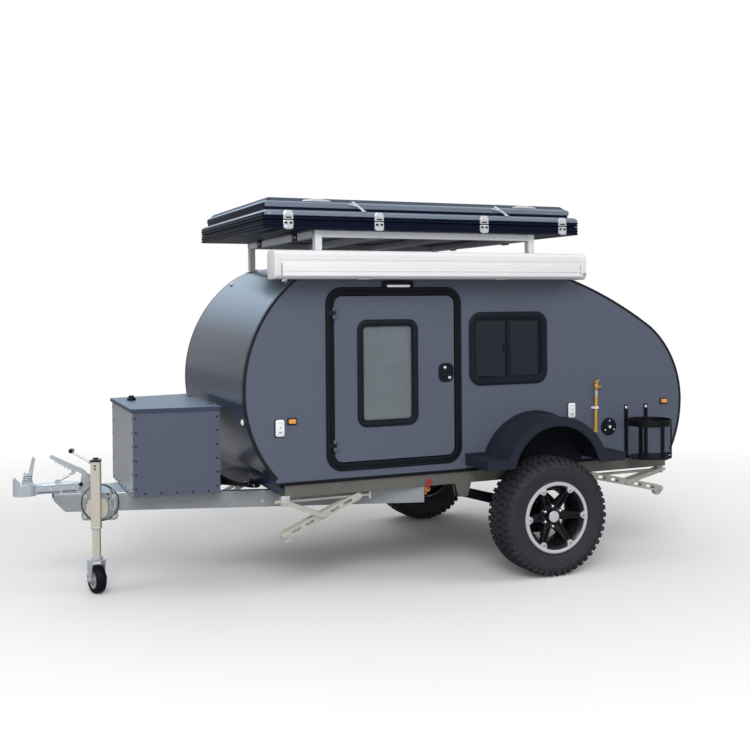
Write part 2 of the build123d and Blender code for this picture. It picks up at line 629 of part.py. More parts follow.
def make_jockey():
    """Jockey wheel on its swing bracket at the side of the drawbar."""
    place = Pos(JOCKEY_X, JOCKEY_ROOT_Y, 0) * Rot(0, 0, -RAIL_ANGLE)
    pivot = JOCKEY_PIVOT_Z
    plate = slab(rect(-110, 90, pivot - 70, pivot + 85, 20), 0, 8)
    centre = JOCKEY_OUT
    inner = centre - 25
    plate += rod((0, 0, pivot), (0, inner - 2, pivot), 12)
    save("jockey_bracket", place * plate)
    tube = box(-25, 25, centre - 25, centre + 25, JOCKEY_LOW, JOCKEY_TOP)
    tube -= box(-21, 21, centre - 21, centre + 21, JOCKEY_LOW - 1, JOCKEY_TOP - 4)
    swing = slab(rect(-60, 60, pivot - 60, pivot + 60, 50) - disc(0, pivot, 12.4), inner - 8, inner)
    tube += swing
    top = JOCKEY_TOP
    reach = CRANK_REACH
    tube += rod((0, centre, top), (0, centre, top + 8), 14)
    tube += rod((22, centre, top - 11), (34, centre, top - 11), 9)
    tube += rod((30, centre, top - 14), (reach + 6, centre, top + 49), 6)
    tube += rod((reach, centre - 14, top + 52), (reach, centre + 22, top + 52), 13)
    save("jockey_tube", place * tube)
    leg = box(-20, 20, centre - 20, centre + 20, 206, JOCKEY_TOP - 11 - JOCKEY_TRAVEL)
    save("jockey_leg", place * leg)
    turned = place * Pos(0, centre, 0) * Rot(0, 0, JOCKEY_TURN)
    fork = plan(Circle(30), 190, 205.5)
    fork += box(-30, 30, -42, 42, 182, 190)
    blade = make_face([
        Line((-30, 190), (30, 190)),
        ThreePointArc((30, 190), (32, 120), (12, JOCKEY_R - 8)),
        ThreePointArc((12, JOCKEY_R - 8), (0, JOCKEY_R - 14), (-12, JOCKEY_R - 8)),
        ThreePointArc((-12, JOCKEY_R - 8), (-20, 130), (-30, 190)),
    ])
    for y in (-42, 36):
        fork += slab(blade, y, y + 6)
    fork += rod((0, -50, JOCKEY_R), (0, 50, JOCKEY_R), 8)
    save("jockey_fork", turned * fork)
    tread = [(8.4, -29), (52, -29), (58, -26), (JOCKEY_R - 10, -29), (JOCKEY_R - 3, -22), (JOCKEY_R, -12)]
    section = poly(*tread, *[(r, -y) for r, y in reversed(tread)])
    wheel = revolve(Plane((0, 0, 0), x_dir=(1, 0, 0), z_dir=(0, 0, 1)) * section, Axis.Y)
    save("jockey_wheel", turned * Pos(0, 0, JOCKEY_R) * wheel)


def make_breakaway_cable():
    """Loop of plastic coated wire rope that hangs at the jockey bracket, with its snap hook."""
    place = Pos(JOCKEY_X, JOCKEY_ROOT_Y, 0) * Rot(0, 0, -RAIL_ANGLE)
    low, high = LOOP_Y
    turns = 13
    points = list(CABLE_START)
    for k in range(turns + 1):
        angle = math.radians(100 + 360 * k / turns)
        y = low + (high - low) * k / turns
        points.append((LOOP_X + LOOP_R * math.cos(angle), y, LOOP_Z + LOOP_R * math.sin(angle)))
    points += CABLE_END
    line = [Vector(*p) for p in points]
    radii = []
    for before, at, after in zip(line, line[1:], line[2:]):
        turn = (at - before).get_angle(after - at)
        shorter = min((at - before).length, (after - at).length)
        radii.append(0.45 * shorter / math.tan(math.radians(turn) / 2))
    path = FilletPolyline(*line, radius=radii)
    start = Plane(origin=line[0], z_dir=line[1] - line[0])
    save("breakaway_cable", place * sweep(start * Circle(CABLE / 2), path=path))
    x, y, z = CABLE_END[-1]
    body = rect(x - 15, x + 15, z - 76, z - 12, 14.5) - rect(x - 10, x + 10, z - 71, z - 17, 9.5)
    hook = slab(body, y - 3, y + 3)
    hook += box(x - 4, x + 4, y - 3, y + 3, z - 14, z)
    save("cable_hook", place * hook)


def make_gas_pipe():
    """Coated gas pipe on the wall with its clip, ball valve and tap."""
    y = HALF_WIDTH
    out = y + PIPE_OUT
    x0, z0, x1, z1 = PIPE_RUN
    pipe = rod((x0, y, z0), (x0, out, z0), PIPE_R) + Pos(x0, out, z0) * Sphere(PIPE_R)
    pipe += rod((x0, out, z0), (x1, out, z1), PIPE_R)
    pipe += rod((x1, out, z1), (x1, out, z1 + 52), PIPE_R * 0.7)
    pipe += Pos(x1, out, z1 + 34) * Sphere(13)
    pipe += rod((x1, y, z1 + 62), (x1, out + 14, z1 + 62), 13)
    pipe += rod((x1, out, z1 + 62), (x1 - 24, out, z1 + 74), 8)
    clip = slab(rect(x0 - 30, x0 + 24, 941, 957, 7.5), y, y + 4)
    clip += slab(rect(x0 - 14, x0 + 8, 943, 955), y, out + PIPE_R + 3)
    save("gas_pipe", pipe + clip)


def make_fittings():
    """Bottle holder, water tank, lamps and small covers on the walls."""
    y = HALF_WIDTH
    hx, hr = -755, 135
    hoop = plan(Pos(hx, y + hr + 12) * (Circle(hr) - Circle(hr - 4)), 838, 872)
    hoop += plan(Pos(hx, y + hr + 12) * Circle(hr), 636, 642)
    for dx in (-1, 1):
        hoop += box(hx + dx * 75 - 13, hx + dx * 75 + 13, y, y + 5, 842, 955)
        hoop += box(hx + dx * 75 - 13, hx + dx * 75 + 13, y, y + 38, 842, 848)
        hoop += box(hx + dx * 75 - 13, hx + dx * 75 + 13, y, y + 5, 636, 842)
        hoop += box(hx + dx * 75 - 13, hx + dx * 75 + 13, y, y + 60, 636, 641)
    for turn in (30, 90, 150):
        cx = hx + (hr - 3) * math.cos(math.radians(turn))
        cy = y + hr + 12 + (hr - 3) * math.sin(math.radians(turn))
        hoop += Pos(cx, cy, 750) * Rot(0, 0, turn) * Box(6, 26, 228)
    save("bottle_holder", hoop)

    tank = box(560, 940, -380, 380, 470, SILL_TOP)
    save("water_tank", tank)

    lamps = slab(rect(1500, 1540, 955, 979, 6), y, y + 14)
    lamps += slab(rect(-988, -948, 956, 980, 6), y, y + 14)
    save("amber_markers", both(lamps))
    lights = both(slab(rect(787, 986, 1701, 1740, 12), y, y + 24))
    for side in (-1, 1):
        lights += rod((1480, side * 600, 1700), (1514, side * 600, 1758), 14) - BODY
        lights += rod((1740, side * 700, 972), (1798, side * 700, 966), 14) - BODY
    covers = slab(rect(1566, 1614, 888, 980, 10), y, y + 12)
    covers += slab(rect(-297, -249, 896, 986, 10), y, y + 12)
    save("outside_lamps", lights)
    save("socket_covers", covers)
    save("filler_disc", slab(disc(-548, 824, 44), y, y + 12))
    make_gas_pipe()
    rear = front(Pos(y - 200, 700) * RectangleRounded(200, 60, 10), -1200, -1000)
    rear = both(rear) - NEAR_BODY
    rear &= box(-1075, -1000, -FAR, FAR, 600, 900)
    save("tail_lamps", rear)
    bed = box(-200, 1500, -WALL_IN + 20, WALL_IN - 20, WALL_FOOT, WALL_FOOT + 260)
    bed -= box(-180, 1480, -WALL_IN + 40, WALL_IN - 40, WALL_FOOT, WALL_FOOT + 240)
    bed -= box(487 - 5, 1316 + 5, 600, 800, WALL_FOOT + 200, 2000)
    bed += box(-230, -200, -WALL_IN, WALL_IN, WALL_FOOT, 1700)
    bed += box(-800, -230, -WALL_IN, WALL_IN, 900, 925)
    bed -= slab(rect(-FAR, FAR, 0, FAR) - HOLLOW, -FAR, FAR)
    save("cabin_fitout", bed)


make_walls()
make_skin()
make_doors()
make_side_windows()
make_chassis()
make_running_gear()
make_arches()
make_roof_load()
make_toolbox()
make_steadies()
make_jockey()
make_breakaway_cable()
make_fittings()
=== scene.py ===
"""Looks of an off-road teardrop trailer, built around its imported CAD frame.

Lengths are metres. Most classes place their pieces from the axle: x forward of it,
y to the left of the middle, z up from the floor. at() turns that into the CAD frame.
"""

import logging
from dataclasses import dataclass, field
from enum import Enum
from math import asin, atan2, copysign, cos, hypot, pi, radians, sin, sqrt
from typing import Callable, Optional, Sequence

import bmesh
import bpy
from mathutils import Matrix, Vector


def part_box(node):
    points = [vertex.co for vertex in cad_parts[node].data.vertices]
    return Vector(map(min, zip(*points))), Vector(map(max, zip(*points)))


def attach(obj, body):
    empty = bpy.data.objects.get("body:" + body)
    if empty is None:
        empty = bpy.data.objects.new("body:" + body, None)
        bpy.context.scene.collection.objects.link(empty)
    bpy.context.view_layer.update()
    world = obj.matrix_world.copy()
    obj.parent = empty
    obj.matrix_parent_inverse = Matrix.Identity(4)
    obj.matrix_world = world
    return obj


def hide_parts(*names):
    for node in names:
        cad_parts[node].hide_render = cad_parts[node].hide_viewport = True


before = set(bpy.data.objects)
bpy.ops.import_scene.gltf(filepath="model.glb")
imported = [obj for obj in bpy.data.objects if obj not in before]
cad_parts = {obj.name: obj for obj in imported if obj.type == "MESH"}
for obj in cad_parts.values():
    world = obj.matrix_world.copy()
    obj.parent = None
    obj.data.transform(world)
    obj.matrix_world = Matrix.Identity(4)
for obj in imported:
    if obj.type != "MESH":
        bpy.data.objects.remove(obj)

log = logging.getLogger("teardrop")

Point = Sequence[float]
Colour = tuple[float, float, float]
Outline = list[tuple[float, float]]
Node = bpy.types.Node
Socket = bpy.types.NodeSocket
Given = bpy.types.bpy_prop_collection
Made = tuple[Socket, ...]

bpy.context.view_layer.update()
TYRE_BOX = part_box("left_tyre")
AXLE_X = (TYRE_BOX[0].x + TYRE_BOX[1].x) / 2
WHEEL_Y = (TYRE_BOX[0].y + TYRE_BOX[1].y) / 2
WHEEL_Z = (TYRE_BOX[0].z + TYRE_BOX[1].z) / 2
SIDES = {"left": 1, "right": -1}
TRAILER = "trailer"
HUB = Vector((0.0, WHEEL_Y, WHEEL_Z))
LEFT = (0, 1, 0)
# Outer face of both side walls.
WALL = 0.76
# Edges over SHARP get a bevel, and edges over CREASE stay sharp. Points nearer than TOUCH or
# WELD are one. Bolts and rivets start SUNK under the face that they stand on.
SHARP = radians(40.0)
CREASE = radians(35.0)
TOUCH = 1e-6
WELD = 2e-5
SUNK = 0.0005


def at(x: float, y: float, z: float) -> Vector:
    """Point given from the axle, in the CAD frame."""
    return Vector((x + AXLE_X, y, z))


def vec(*numbers: float) -> Vector:
    """Vector of its numbers."""
    return Vector(numbers)


def around(count: int) -> list[float]:
    """Angles of as many even steps round a full turn."""
    return [2 * pi * k / count for k in range(count)]


def spoke(turn: float) -> tuple[Vector, Vector]:
    """The way out at a turn about y, in radians, and the way round there."""
    return vec(cos(turn), 0, sin(turn)), vec(-sin(turn), 0, cos(turn))


def linear(red: int, green: int, blue: int) -> Colour:
    """Turn a colour as seen on a screen into linear light.

    Args:
        red: Screen value from 0 to 255.
        green: Screen value from 0 to 255.
        blue: Screen value from 0 to 255.

    Returns:
        The three linear values from 0 to 1.
    """
    shares = (value / 255 for value in (red, green, blue))
    return tuple(s / 12.92 if s <= 0.04045 else ((s + 0.055) / 1.055) ** 2.4 for s in shares)


def show(name: str, data: bpy.types.ID) -> bpy.types.Object:
    """Put some data into the scene.

    Args:
        name: Name of the object.
        data: Its mesh, curve, camera or lamp.

    Returns:
        The new object.
    """
    item = bpy.data.objects.new(name, data)
    bpy.context.scene.collection.objects.link(item)
    return item


class Nodes:
    """Short hand for building one node tree, of a material or of a group."""

    def __init__(self, tree: bpy.types.NodeTree) -> None:
        """Keep the tree that nodes are added to."""
        self.tree = tree

    def add(self, kind: str, **settings: object) -> Node:
        """Add a node.

        Args:
            kind: Blender's name of the node type, without its ShaderNode start.
            **settings: Node properties, or numbers and links for inputs by socket name.

        Returns:
            The new node.
        """
        node = self.tree.nodes.new("ShaderNode" + kind)
        for name, value in settings.items():
            if hasattr(node, name):
                setattr(node, name, value)
            else:
                self.feed(node.inputs[name.replace("_", " ")], value)
        return node

    def feed(self, socket: Socket, value: object) -> None:
        """Link an output to a socket, or set the socket's own value.

        Args:
            socket: Input of a node.
            value: Output to link, or the number or colour itself.
        """
        if isinstance(value, Socket):
            self.tree.links.new(value, socket)
        elif isinstance(value, tuple) and len(value) == 3 and socket.type == "RGBA":
            socket.default_value = (*value, 1.0)
        else:
            socket.default_value = value

    def math(self, kind: str, first: object, second: object = 0.0) -> Socket:
        """Result of one sum on two values or links.

        Args:
            kind: Blender's name of the sum.
            first: Left side.
            second: Right side.

        Returns:
            The socket of the result.
        """
        node = self.add("Math", operation=kind)
        self.feed(node.inputs[0], first)
        self.feed(node.inputs[1], second)
        return node.outputs[0]

    def times(self, first: object, second: object) -> Socket:
        """Product of two values or links."""
        return self.math("MULTIPLY", first, second)

    def noise(self, where: Socket, scale: object, detail: float, roughness: float = 0.5) -> Socket:
        """Value of a noise texture."""
        node = self.add("TexNoise", Vector=where, Scale=scale, Detail=detail, Roughness=roughness)
        return node.outputs["Fac"]

    def span(self, value: object, low: float, high: float, to_low: float = 0.0,
            to_high: float = 1.0) -> Socket:
        """Map a value from one range to another and clamp it.

        Args:
            value: Value or link.
            low: Start of its range.
            high: End of its range.
            to_low: Result at the start.
            to_high: Result at the end.

        Returns:
            The socket of the result.
        """
        node = self.add("MapRange", clamp=True)
        for index, number in enumerate((value, low, high, to_low, to_high)):
            self.feed(node.inputs[index], number)
        return node.outputs[0]

    def blend(self, share: object, first: object, second: object) -> Socket:
        """Mix two colours by a share or a mask.

        Args:
            share: 0 for the first and 1 for the second.
            first: One colour or link.
            second: The other one.

        Returns:
            The socket of the mixed colour.
        """
        node = self.add("Mix", data_type="RGBA")
        self.feed(node.inputs["Factor"], share)
        self.feed(node.inputs[6], first)
        self.feed(node.inputs[7], second)
        return node.outputs[2]


@dataclass(frozen=True)
class Effect:
    """Shared shader effect, made once as a node group.

    Attributes:
        name: Name of the node group.
        numbers: Its number inputs with their starting values, besides the place.
        outputs: Names of its outputs.
        fill: Builds the inside from the given sockets and returns one socket for each output.
    """

    name: str
    numbers: tuple[tuple[str, float], ...]
    outputs: tuple[str, ...]
    fill: Callable[[Nodes, Given], Made]

    def group(self) -> bpy.types.NodeTree:
        """Build the node group the first time it is asked for.

        Returns:
            The node group.
        """
        found = bpy.data.node_groups.get(self.name)
        if found:
            return found
        tree = bpy.data.node_groups.new(self.name, "ShaderNodeTree")
        tree.interface.new_socket(name="Vector", in_out="INPUT", socket_type="NodeSocketVector")
        for name, value in self.numbers:
            socket = tree.interface.new_socket(name=name, in_out="INPUT", socket_type="NodeSocketFloat")
            socket.default_value = value
        for name in self.outputs:
            tree.interface.new_socket(name=name, in_out="OUTPUT", socket_type="NodeSocketFloat")
        nodes = Nodes(tree)
        given = tree.nodes.new("NodeGroupInput").outputs
        end = tree.nodes.new("NodeGroupOutput")
        for name, made in zip(self.outputs, self.fill(nodes, given)):
            nodes.feed(end.inputs[name], made)
        return tree

    def place(self, nodes: Nodes, **settings: object) -> Given:
        """Put the group in a material with its own values.

        Args:
            nodes: Tree of the material.
            **settings: Numbers and links by the name of the input.

        Returns:
            The group's outputs.
        """
        node = nodes.tree.nodes.new("ShaderNodeGroup")
        node.node_tree = self.group()
        for name, value in settings.items():
            nodes.feed(node.inputs[name], value)
        return node.outputs


def fill_cloud(nodes: Nodes, given: Given) -> Made:
    """Soft uneven patches and a finer speckle, both around a half.

    Args:
        nodes: Tree of the group.
        given: Sockets of the group's own inputs.

    Returns:
        Patches and speckle.
    """
    broad = nodes.noise(given["Vector"], given["Scale"], 4.0, 0.55)
    fine = nodes.noise(given["Vector"], nodes.times(given["Scale"], 9.0), 3.0, 0.6)
    return nodes.span(broad, 0.3, 0.7), nodes.span(fine, 0.3, 0.7)


def fill_dust(nodes: Nodes, given: Given) -> Made:
    """Road dust that thins out with height and gathers on faces that look up.

    Args:
        nodes: Tree of the group.
        given: Sockets of the group's own inputs.

    Returns:
        The mask.
    """
    split = nodes.add("SeparateXYZ", Vector=given["Vector"])
    low = nodes.span(split.outputs["Z"], 0.0, given["Height"], 1.0, 0.0)
    facing = nodes.add("SeparateXYZ", Vector=nodes.add("NewGeometry").outputs["Normal"])
    up = nodes.span(facing.outputs["Z"], 0.3, 1.0, 0.35, 1.0)
    uneven = nodes.span(nodes.noise(given["Vector"], 7.0, 6.0, 0.65), 0.38, 0.68)
    return (nodes.times(nodes.times(nodes.times(low, up), uneven), given["Amount"]),)


def fill_edge(nodes: Nodes, given: Given) -> Made:
    """Rubbed edges: where a rounded normal leaves the face's own one.

    Args:
        nodes: Tree of the group.
        given: Sockets of the group's own inputs.

    Returns:
        The mask.
    """
    soft = nodes.add("Bevel", samples=4, Radius=given["Width"])
    turn = nodes.add("VectorMath", operation="DOT_PRODUCT")
    nodes.feed(turn.inputs[0], soft.outputs["Normal"])
    nodes.feed(turn.inputs[1], nodes.add("NewGeometry").outputs["Normal"])
    edge = nodes.span(turn.outputs["Value"], 0.99, 0.8)
    broken = nodes.span(nodes.noise(given["Vector"], 60.0, 4.0), 0.42, 0.6)
    return (nodes.times(nodes.times(edge, broken), given["Amount"]),)


def fill_peel(nodes: Nodes, given: Given) -> Made:
    """Slow ripple of sprayed paint."""
    ripple = nodes.noise(given["Vector"], given["Scale"], 1.0)
    return ripple, ripple


def fill_moulded(nodes: Nodes, given: Given) -> Made:
    """Leathery grain of moulded plastic and rubber.

    Args:
        nodes: Tree of the group.
        given: Sockets of the group's own inputs.

    Returns:
        Tone and height.
    """
    cells = nodes.add("TexVoronoi", Vector=given["Vector"], Scale=given["Scale"])
    cells.feature = "SMOOTH_F1"
    speck = nodes.noise(given["Vector"], nodes.times(given["Scale"], 2.3), 3.0)
    return speck, nodes.times(cells.outputs["Distance"], speck)


def fill_spangle(nodes: Nodes, given: Given) -> Made:
    """Zinc crystals of hot dip galvanising.

    Args:
        nodes: Tree of the group.
        given: Sockets of the group's own inputs.

    Returns:
        Tone and height.
    """
    cells = nodes.add("TexVoronoi", Vector=given["Vector"], Scale=given["Scale"])
    pick = nodes.add("SeparateColor", Color=cells.outputs["Color"]).outputs
    runs = nodes.noise(given["Vector"], 14.0, 5.0, 0.6)
    tone = nodes.times(pick[0], nodes.span(runs, 0.3, 0.7, 0.5, 1.0))
    return tone, nodes.math("ADD", nodes.times(pick[1], 0.25), runs)


def drawn_out(nodes: Nodes, where: Socket, share: float) -> Socket:
    """The place with everything drawn out along x."""
    stretch = nodes.add("Mapping", Vector=where)
    stretch.inputs["Scale"].default_value = (share, 1.0, 1.0)
    return stretch.outputs[0]


def fill_brushed(nodes: Nodes, given: Given) -> Made:
    """Long scratches along x of drawn and anodised metal."""
    lines = nodes.noise(drawn_out(nodes, given["Vector"], 0.02), given["Scale"], 5.0, 0.7)
    return lines, lines


def fill_wood(nodes: Nodes, given: Given) -> Made:
    """Long plywood figure along x.

    Args:
        nodes: Tree of the group.
        given: Sockets of the group's own inputs.

    Returns:
        Tone and height.
    """
    where = drawn_out(nodes, given["Vector"], 0.12)
    bands = nodes.add("TexWave", Vector=where, Scale=given["Scale"], Distortion=5.0, Detail=3.0)
    pores = nodes.noise(where, 240.0, 4.0)
    return nodes.times(bands.outputs["Fac"], nodes.span(pores, 0.3, 0.7, 0.6, 1.0)), pores


CLOUD = Effect("cloud", (("Scale", 3.0),), ("Broad", "Fine"), fill_cloud)
DUST = Effect("road_dust", (("Height", 0.7), ("Amount", 0.3)), ("Mask",), fill_dust)
EDGE = Effect("edge_wear", (("Width", 0.003), ("Amount", 0.5)), ("Mask",), fill_edge)
SCALED = (("Scale", 100.0),)
RELIEF = ("Tone", "Height")


class Grain(Enum):
    """Surface relief that a finish can carry."""

    PEEL = Effect("paint_peel", SCALED, RELIEF, fill_peel)
    MOULDED = Effect("moulded_grain", SCALED, RELIEF, fill_moulded)
    SPANGLE = Effect("zinc_spangle", SCALED, RELIEF, fill_spangle)
    BRUSHED = Effect("brushed_lines", SCALED, RELIEF, fill_brushed)
    WOOD = Effect("plywood_figure", SCALED, RELIEF, fill_wood)


DUST_COLOUR = linear(150, 138, 120)
COAT_ROUGHNESS = 0.12
PANE_IOR = 1.45


@dataclass(frozen=True)
class Look:
    """What a piece is made of.

    Attributes:
        name: Name of the material.
        colour: Main colour as seen on a screen, or that of the light that gets through.
        slot: Material slot of the record that it stands for.
    """

    name: str
    colour: tuple[int, int, int]
    slot: str

    def sockets(self, nodes: Nodes, where: Socket) -> dict[str, object]:
        """Values and links for the shader's inputs, by their names."""
        raise NotImplementedError

    def material(self) -> bpy.types.Material:
        """Build the material of this look the first time it is asked for.

        Returns:
            The material.
        """
        found = bpy.data.materials.get(self.name)
        if found:
            return found
        material = bpy.data.materials.new(self.name)
        material.use_nodes = True
        nodes = Nodes(material.node_tree)
        inputs = material.node_tree.nodes["Principled BSDF"].inputs
        for name, value in self.sockets(nodes, nodes.add("TexCoord").outputs["Object"]).items():
            nodes.feed(inputs[name], value)
        return material


@dataclass(frozen=True)
class Finish(Look):
    """One opaque finish.

    Attributes:
        roughness: Middle of the roughness.
        scale: Grain cells to the metre.
        depth: Height of the grain in metres.
        tone: How far the colour swings with the grain and the patches.
        grain: Relief of the surface.
        metallic: Share of metal.
        uneven: How far roughness swings over the surface.
        coat: Clear coat weight.
        shine: Strength of the plain reflection, 0.5 for glassy surfaces.
        dust: Strength of the road dust.
        dust_height: Height in metres where the dust ends.
        worn: Strength of the rubbed edges.
        worn_colour: Colour under the finish.
    """

    roughness: float = 0.5
    scale: float = 300.0
    depth: float = 0.0002
    tone: float = 0.12
    grain: Grain = Grain.PEEL
    metallic: float = 0.0
    uneven: float = 0.12
    coat: float = 0.0
    shine: float = 0.5
    dust: float = 0.0
    dust_height: float = 0.8
    worn: float = 0.0
    worn_colour: Colour = (0.4, 0.4, 0.41)

    def sockets(self, nodes: Nodes, where: Socket) -> dict[str, object]:
        """Grain, patches, rubbed edges and dust over the plain colour.

        Args:
            nodes: Tree of the material.
            where: Place on the piece.

        Returns:
            Values and links by input.
        """
        relief = self.grain.value.place(nodes, Vector=where, Scale=self.scale)
        patches = CLOUD.place(nodes, Vector=where, Scale=3.0)
        half_tone = nodes.times(relief["Tone"], 0.5)
        shade = nodes.math("ADD", half_tone, nodes.times(patches["Broad"], 0.5))
        light = linear(*self.colour)
        dark = tuple(c * (1 - self.tone) for c in light)
        pale = tuple(min(1.0, c * (1 + self.tone)) for c in light)
        colour = nodes.blend(shade, dark, pale)
        swing = nodes.math("ADD", nodes.times(patches["Fine"], 0.5), half_tone)
        rough = nodes.span(swing, 0.0, 1.0, max(0.02, self.roughness - self.uneven / 2),
            min(1.0, self.roughness + self.uneven / 2))
        metal: object = self.metallic
        if self.worn:
            rubbed = EDGE.place(nodes, Vector=where, Amount=self.worn)["Mask"]
            colour = nodes.blend(rubbed, colour, self.worn_colour)
            rough = nodes.math("MULTIPLY_ADD", rubbed, -0.1)
            nodes.feed(rough.node.inputs[2], self.roughness)
        if self.dust:
            veil = DUST.place(nodes, Vector=where, Height=self.dust_height, Amount=self.dust)["Mask"]
            colour = nodes.blend(veil, colour, DUST_COLOUR)
            rough = nodes.math("ADD", rough, nodes.times(veil, 0.3))
            if self.metallic:
                metal = nodes.math("SUBTRACT", self.metallic, nodes.times(veil, 0.8))
        bump = nodes.add("Bump", Height=relief["Height"], Distance=self.depth, Strength=1.0)
        return {"Base Color": colour, "Roughness": rough, "Metallic": metal,
            "Normal": bump.outputs["Normal"], "Coat Weight": self.coat, "Specular IOR Level": self.shine,
            "Coat Roughness": COAT_ROUGHNESS}


@dataclass(frozen=True)
class Pane(Look):
    """Clear or tinted pane.

    Attributes:
        through: Transmission weight.
        roughness: Roughness of the surface.
        glow: Emission strength, for lamp lenses that catch light inside.
    """

    through: float = 0.8
    roughness: float = 0.04
    glow: float = 0.0

    def sockets(self, nodes: Nodes, where: Socket) -> dict[str, object]:
        """Clear body with a thin uneven film and a slow wave.

        Args:
            nodes: Tree of the material.
            where: Place on the piece.

        Returns:
            Values and links by input.
        """
        film = CLOUD.place(nodes, Vector=where, Scale=5.0)
        bump = nodes.add("Bump", Height=nodes.noise(where, 2.5, 0.0), Distance=0.0006, Strength=1.0)
        light = linear(*self.colour)
        dark = tuple(c * 0.85 for c in light)
        rough = nodes.span(film["Broad"], 0.0, 1.0, self.roughness, self.roughness * 2.5)
        return {"Base Color": nodes.blend(film["Fine"], dark, light), "Roughness": rough,
            "Normal": bump.outputs["Normal"], "Transmission Weight": self.through, "IOR": PANE_IOR,
            "Emission Color": light, "Emission Strength": self.glow}


# Name, colour, slot, roughness, grain cells to the metre, grain depth, tone and grain.
PANEL = Finish("slate_panel", (84, 91, 107), "blue_panel", 0.42, 900.0, 6e-5, 0.03, uneven=0.08)
SKIN = Finish("slate_gloss_skin", (47, 58, 79), "blue_skin", 0.26, 12.0, 4e-5, 0.02, coat=0.25, uneven=0.02,
    dust=0.08, dust_height=0.9)
BOX_BLUE = Finish("slate_box_sheet", (80, 87, 105), "blue_panel", 0.36, 700.0, 6e-5, 0.04, dust=0.1)
BLACK = Finish("moulded_black", (17, 21, 33), "black_plastic", 0.4, 1400.0, 6e-5, 0.12, Grain.MOULDED,
    shine=0.3)
ARCH = Finish("arch_plastic", (29, 34, 47), "black_plastic", 0.6, 900.0, 0.0002, 0.1, Grain.MOULDED,
    shine=0.3, dust=0.1, dust_height=1.1)
BLACK_METAL = Finish("black_powder_coat", (8, 10, 18), "black_metal", 0.42, 1100.0, 6e-5, shine=0.22,
    worn=0.12)
GLOSS_BLACK = Finish("black_gloss_shell", (19, 24, 41), "black_metal", 0.34, 12.0, 3e-5, 0.05, shine=0.03,
    uneven=0.02)
# Painted highlight: the bevel of the black gloss shell gets a pale blue-grey colour that stands in for the
# sky it reflects.
BEVEL = Finish("shell_bevel_painted_highlight", (108, 118, 134), "black_metal", 0.32, 12.0, 3e-5, 0.04, uneven=0.02)
ZINC = Finish("hot_dip_zinc", (158, 162, 167), "zinc", 0.42, 110.0, 0.00012, 0.16, Grain.SPANGLE,
    metallic=0.4, uneven=0.2, dust=0.15)
PLATED = Finish("bright_zinc_plate", (212, 217, 222), "zinc", 0.3, 500.0, 5e-5, 0.08, Grain.BRUSHED,
    metallic=0.55, uneven=0.15, dust=0.08)
STEADY_ZINC = Finish("steady_zinc", (200, 199, 191), "zinc", 0.36, 160.0, 0.0001, 0.12, Grain.SPANGLE,
    metallic=0.35, uneven=0.15, dust=0.1)
# Painted shade: the chassis zinc is darker than the drawbar's so that the sill looks shaded under the body.
FRAME_PAINTED_SHADE = Finish("frame_zinc_painted_shade", (108, 107, 102), "zinc", 0.5, 110.0, 0.00012, 0.14, Grain.SPANGLE,
    metallic=0.3, uneven=0.2, dust=0.15)
TUBE_ZINC = Finish("jockey_tube_zinc", (207, 201, 188), "zinc", 0.38, 300.0, 5e-5, 0.08, Grain.BRUSHED,
    metallic=0.3, uneven=0.15, dust=0.12)
SILVER = Finish("satin_aluminium", (238, 241, 246), "silver", 0.36, 420.0, 5e-5, 0.05, Grain.BRUSHED,
    metallic=0.2)
POLISHED = Finish("machined_alloy", (232, 234, 238), "silver", 0.2, 600.0, 3e-5, 0.05, Grain.BRUSHED,
    metallic=0.6, dust=0.06)
WHITE = Finish("white_case", (224, 225, 226), "white_shell", 0.38, 700.0, 5e-5, 0.03)
WHITE_PLASTIC = Finish("moulded_white", (236, 239, 244), "white_plastic", 0.35, 1500.0, 6e-5, 0.03,
    Grain.MOULDED)
TANK = Finish("tank_plastic", (176, 178, 178), "white_plastic", 0.5, 600.0, 0.0002, 0.08, Grain.MOULDED,
    dust=0.3)
TYRE = Finish("tyre_rubber", (38, 41, 48), "tyre", 0.68, 800.0, 0.0004, 0.2, Grain.MOULDED, uneven=0.18,
    dust=0.1, dust_height=0.75)
RUBBER = Finish("seal_rubber", (10, 13, 22), "rubber", 0.55, 1500.0, 8e-5, 0.12, Grain.MOULDED, shine=0.2)
RIM = Finish("gloss_black_rim", (14, 16, 22), "rim", 0.28, 200.0, 5e-5, shine=0.4, dust=0.06)
WOOD = Finish("birch_plywood", (190, 160, 118), "wood", 0.5, 14.0, 0.0001, 0.25, Grain.WOOD)
BRASS = Finish("brass", (214, 170, 96), "zinc", 0.3, 600.0, 4e-5, 0.1, Grain.BRUSHED, metallic=0.6)
YELLOW = Finish("yellow_pipe_coat", (206, 166, 58), "yellow_metal", 0.42, 500.0, 0.0001, 0.1)
RED_PLASTIC = Finish("red_plastic", (168, 34, 34), "red", 0.4, 600.0, 0.0001)
EDGE_BLACK = Finish("edge_trim", (18, 21, 29), "blue_panel", 0.4, 500.0, 5e-5, 0.08, shine=0.4)
LID_BLUE = Finish("slate_lid_sheet", (48, 61, 86), "blue_panel", 0.34, 700.0, 4e-5, 0.04, dust=0.06,
    dust_height=1.6)
LINING = Finish("grey_lining", (196, 198, 198), "blue_panel", 0.7, 1200.0, 0.0001, 0.06, Grain.MOULDED)
UNDERBODY = Finish("black_underbody", (34, 34, 36), "wood", 0.7, 500.0, 0.0003, 0.2, Grain.MOULDED, dust=0.3)
GREY_PLASTIC = Finish("grey_plastic", (158, 160, 162), "white_plastic", 0.45, 1500.0, 6e-5, 0.06,
    Grain.MOULDED)
NUT = Finish("chrome_nut", (222, 224, 228), "silver", 0.16, 800.0, 2e-5, 0.05, Grain.BRUSHED, metallic=0.95)
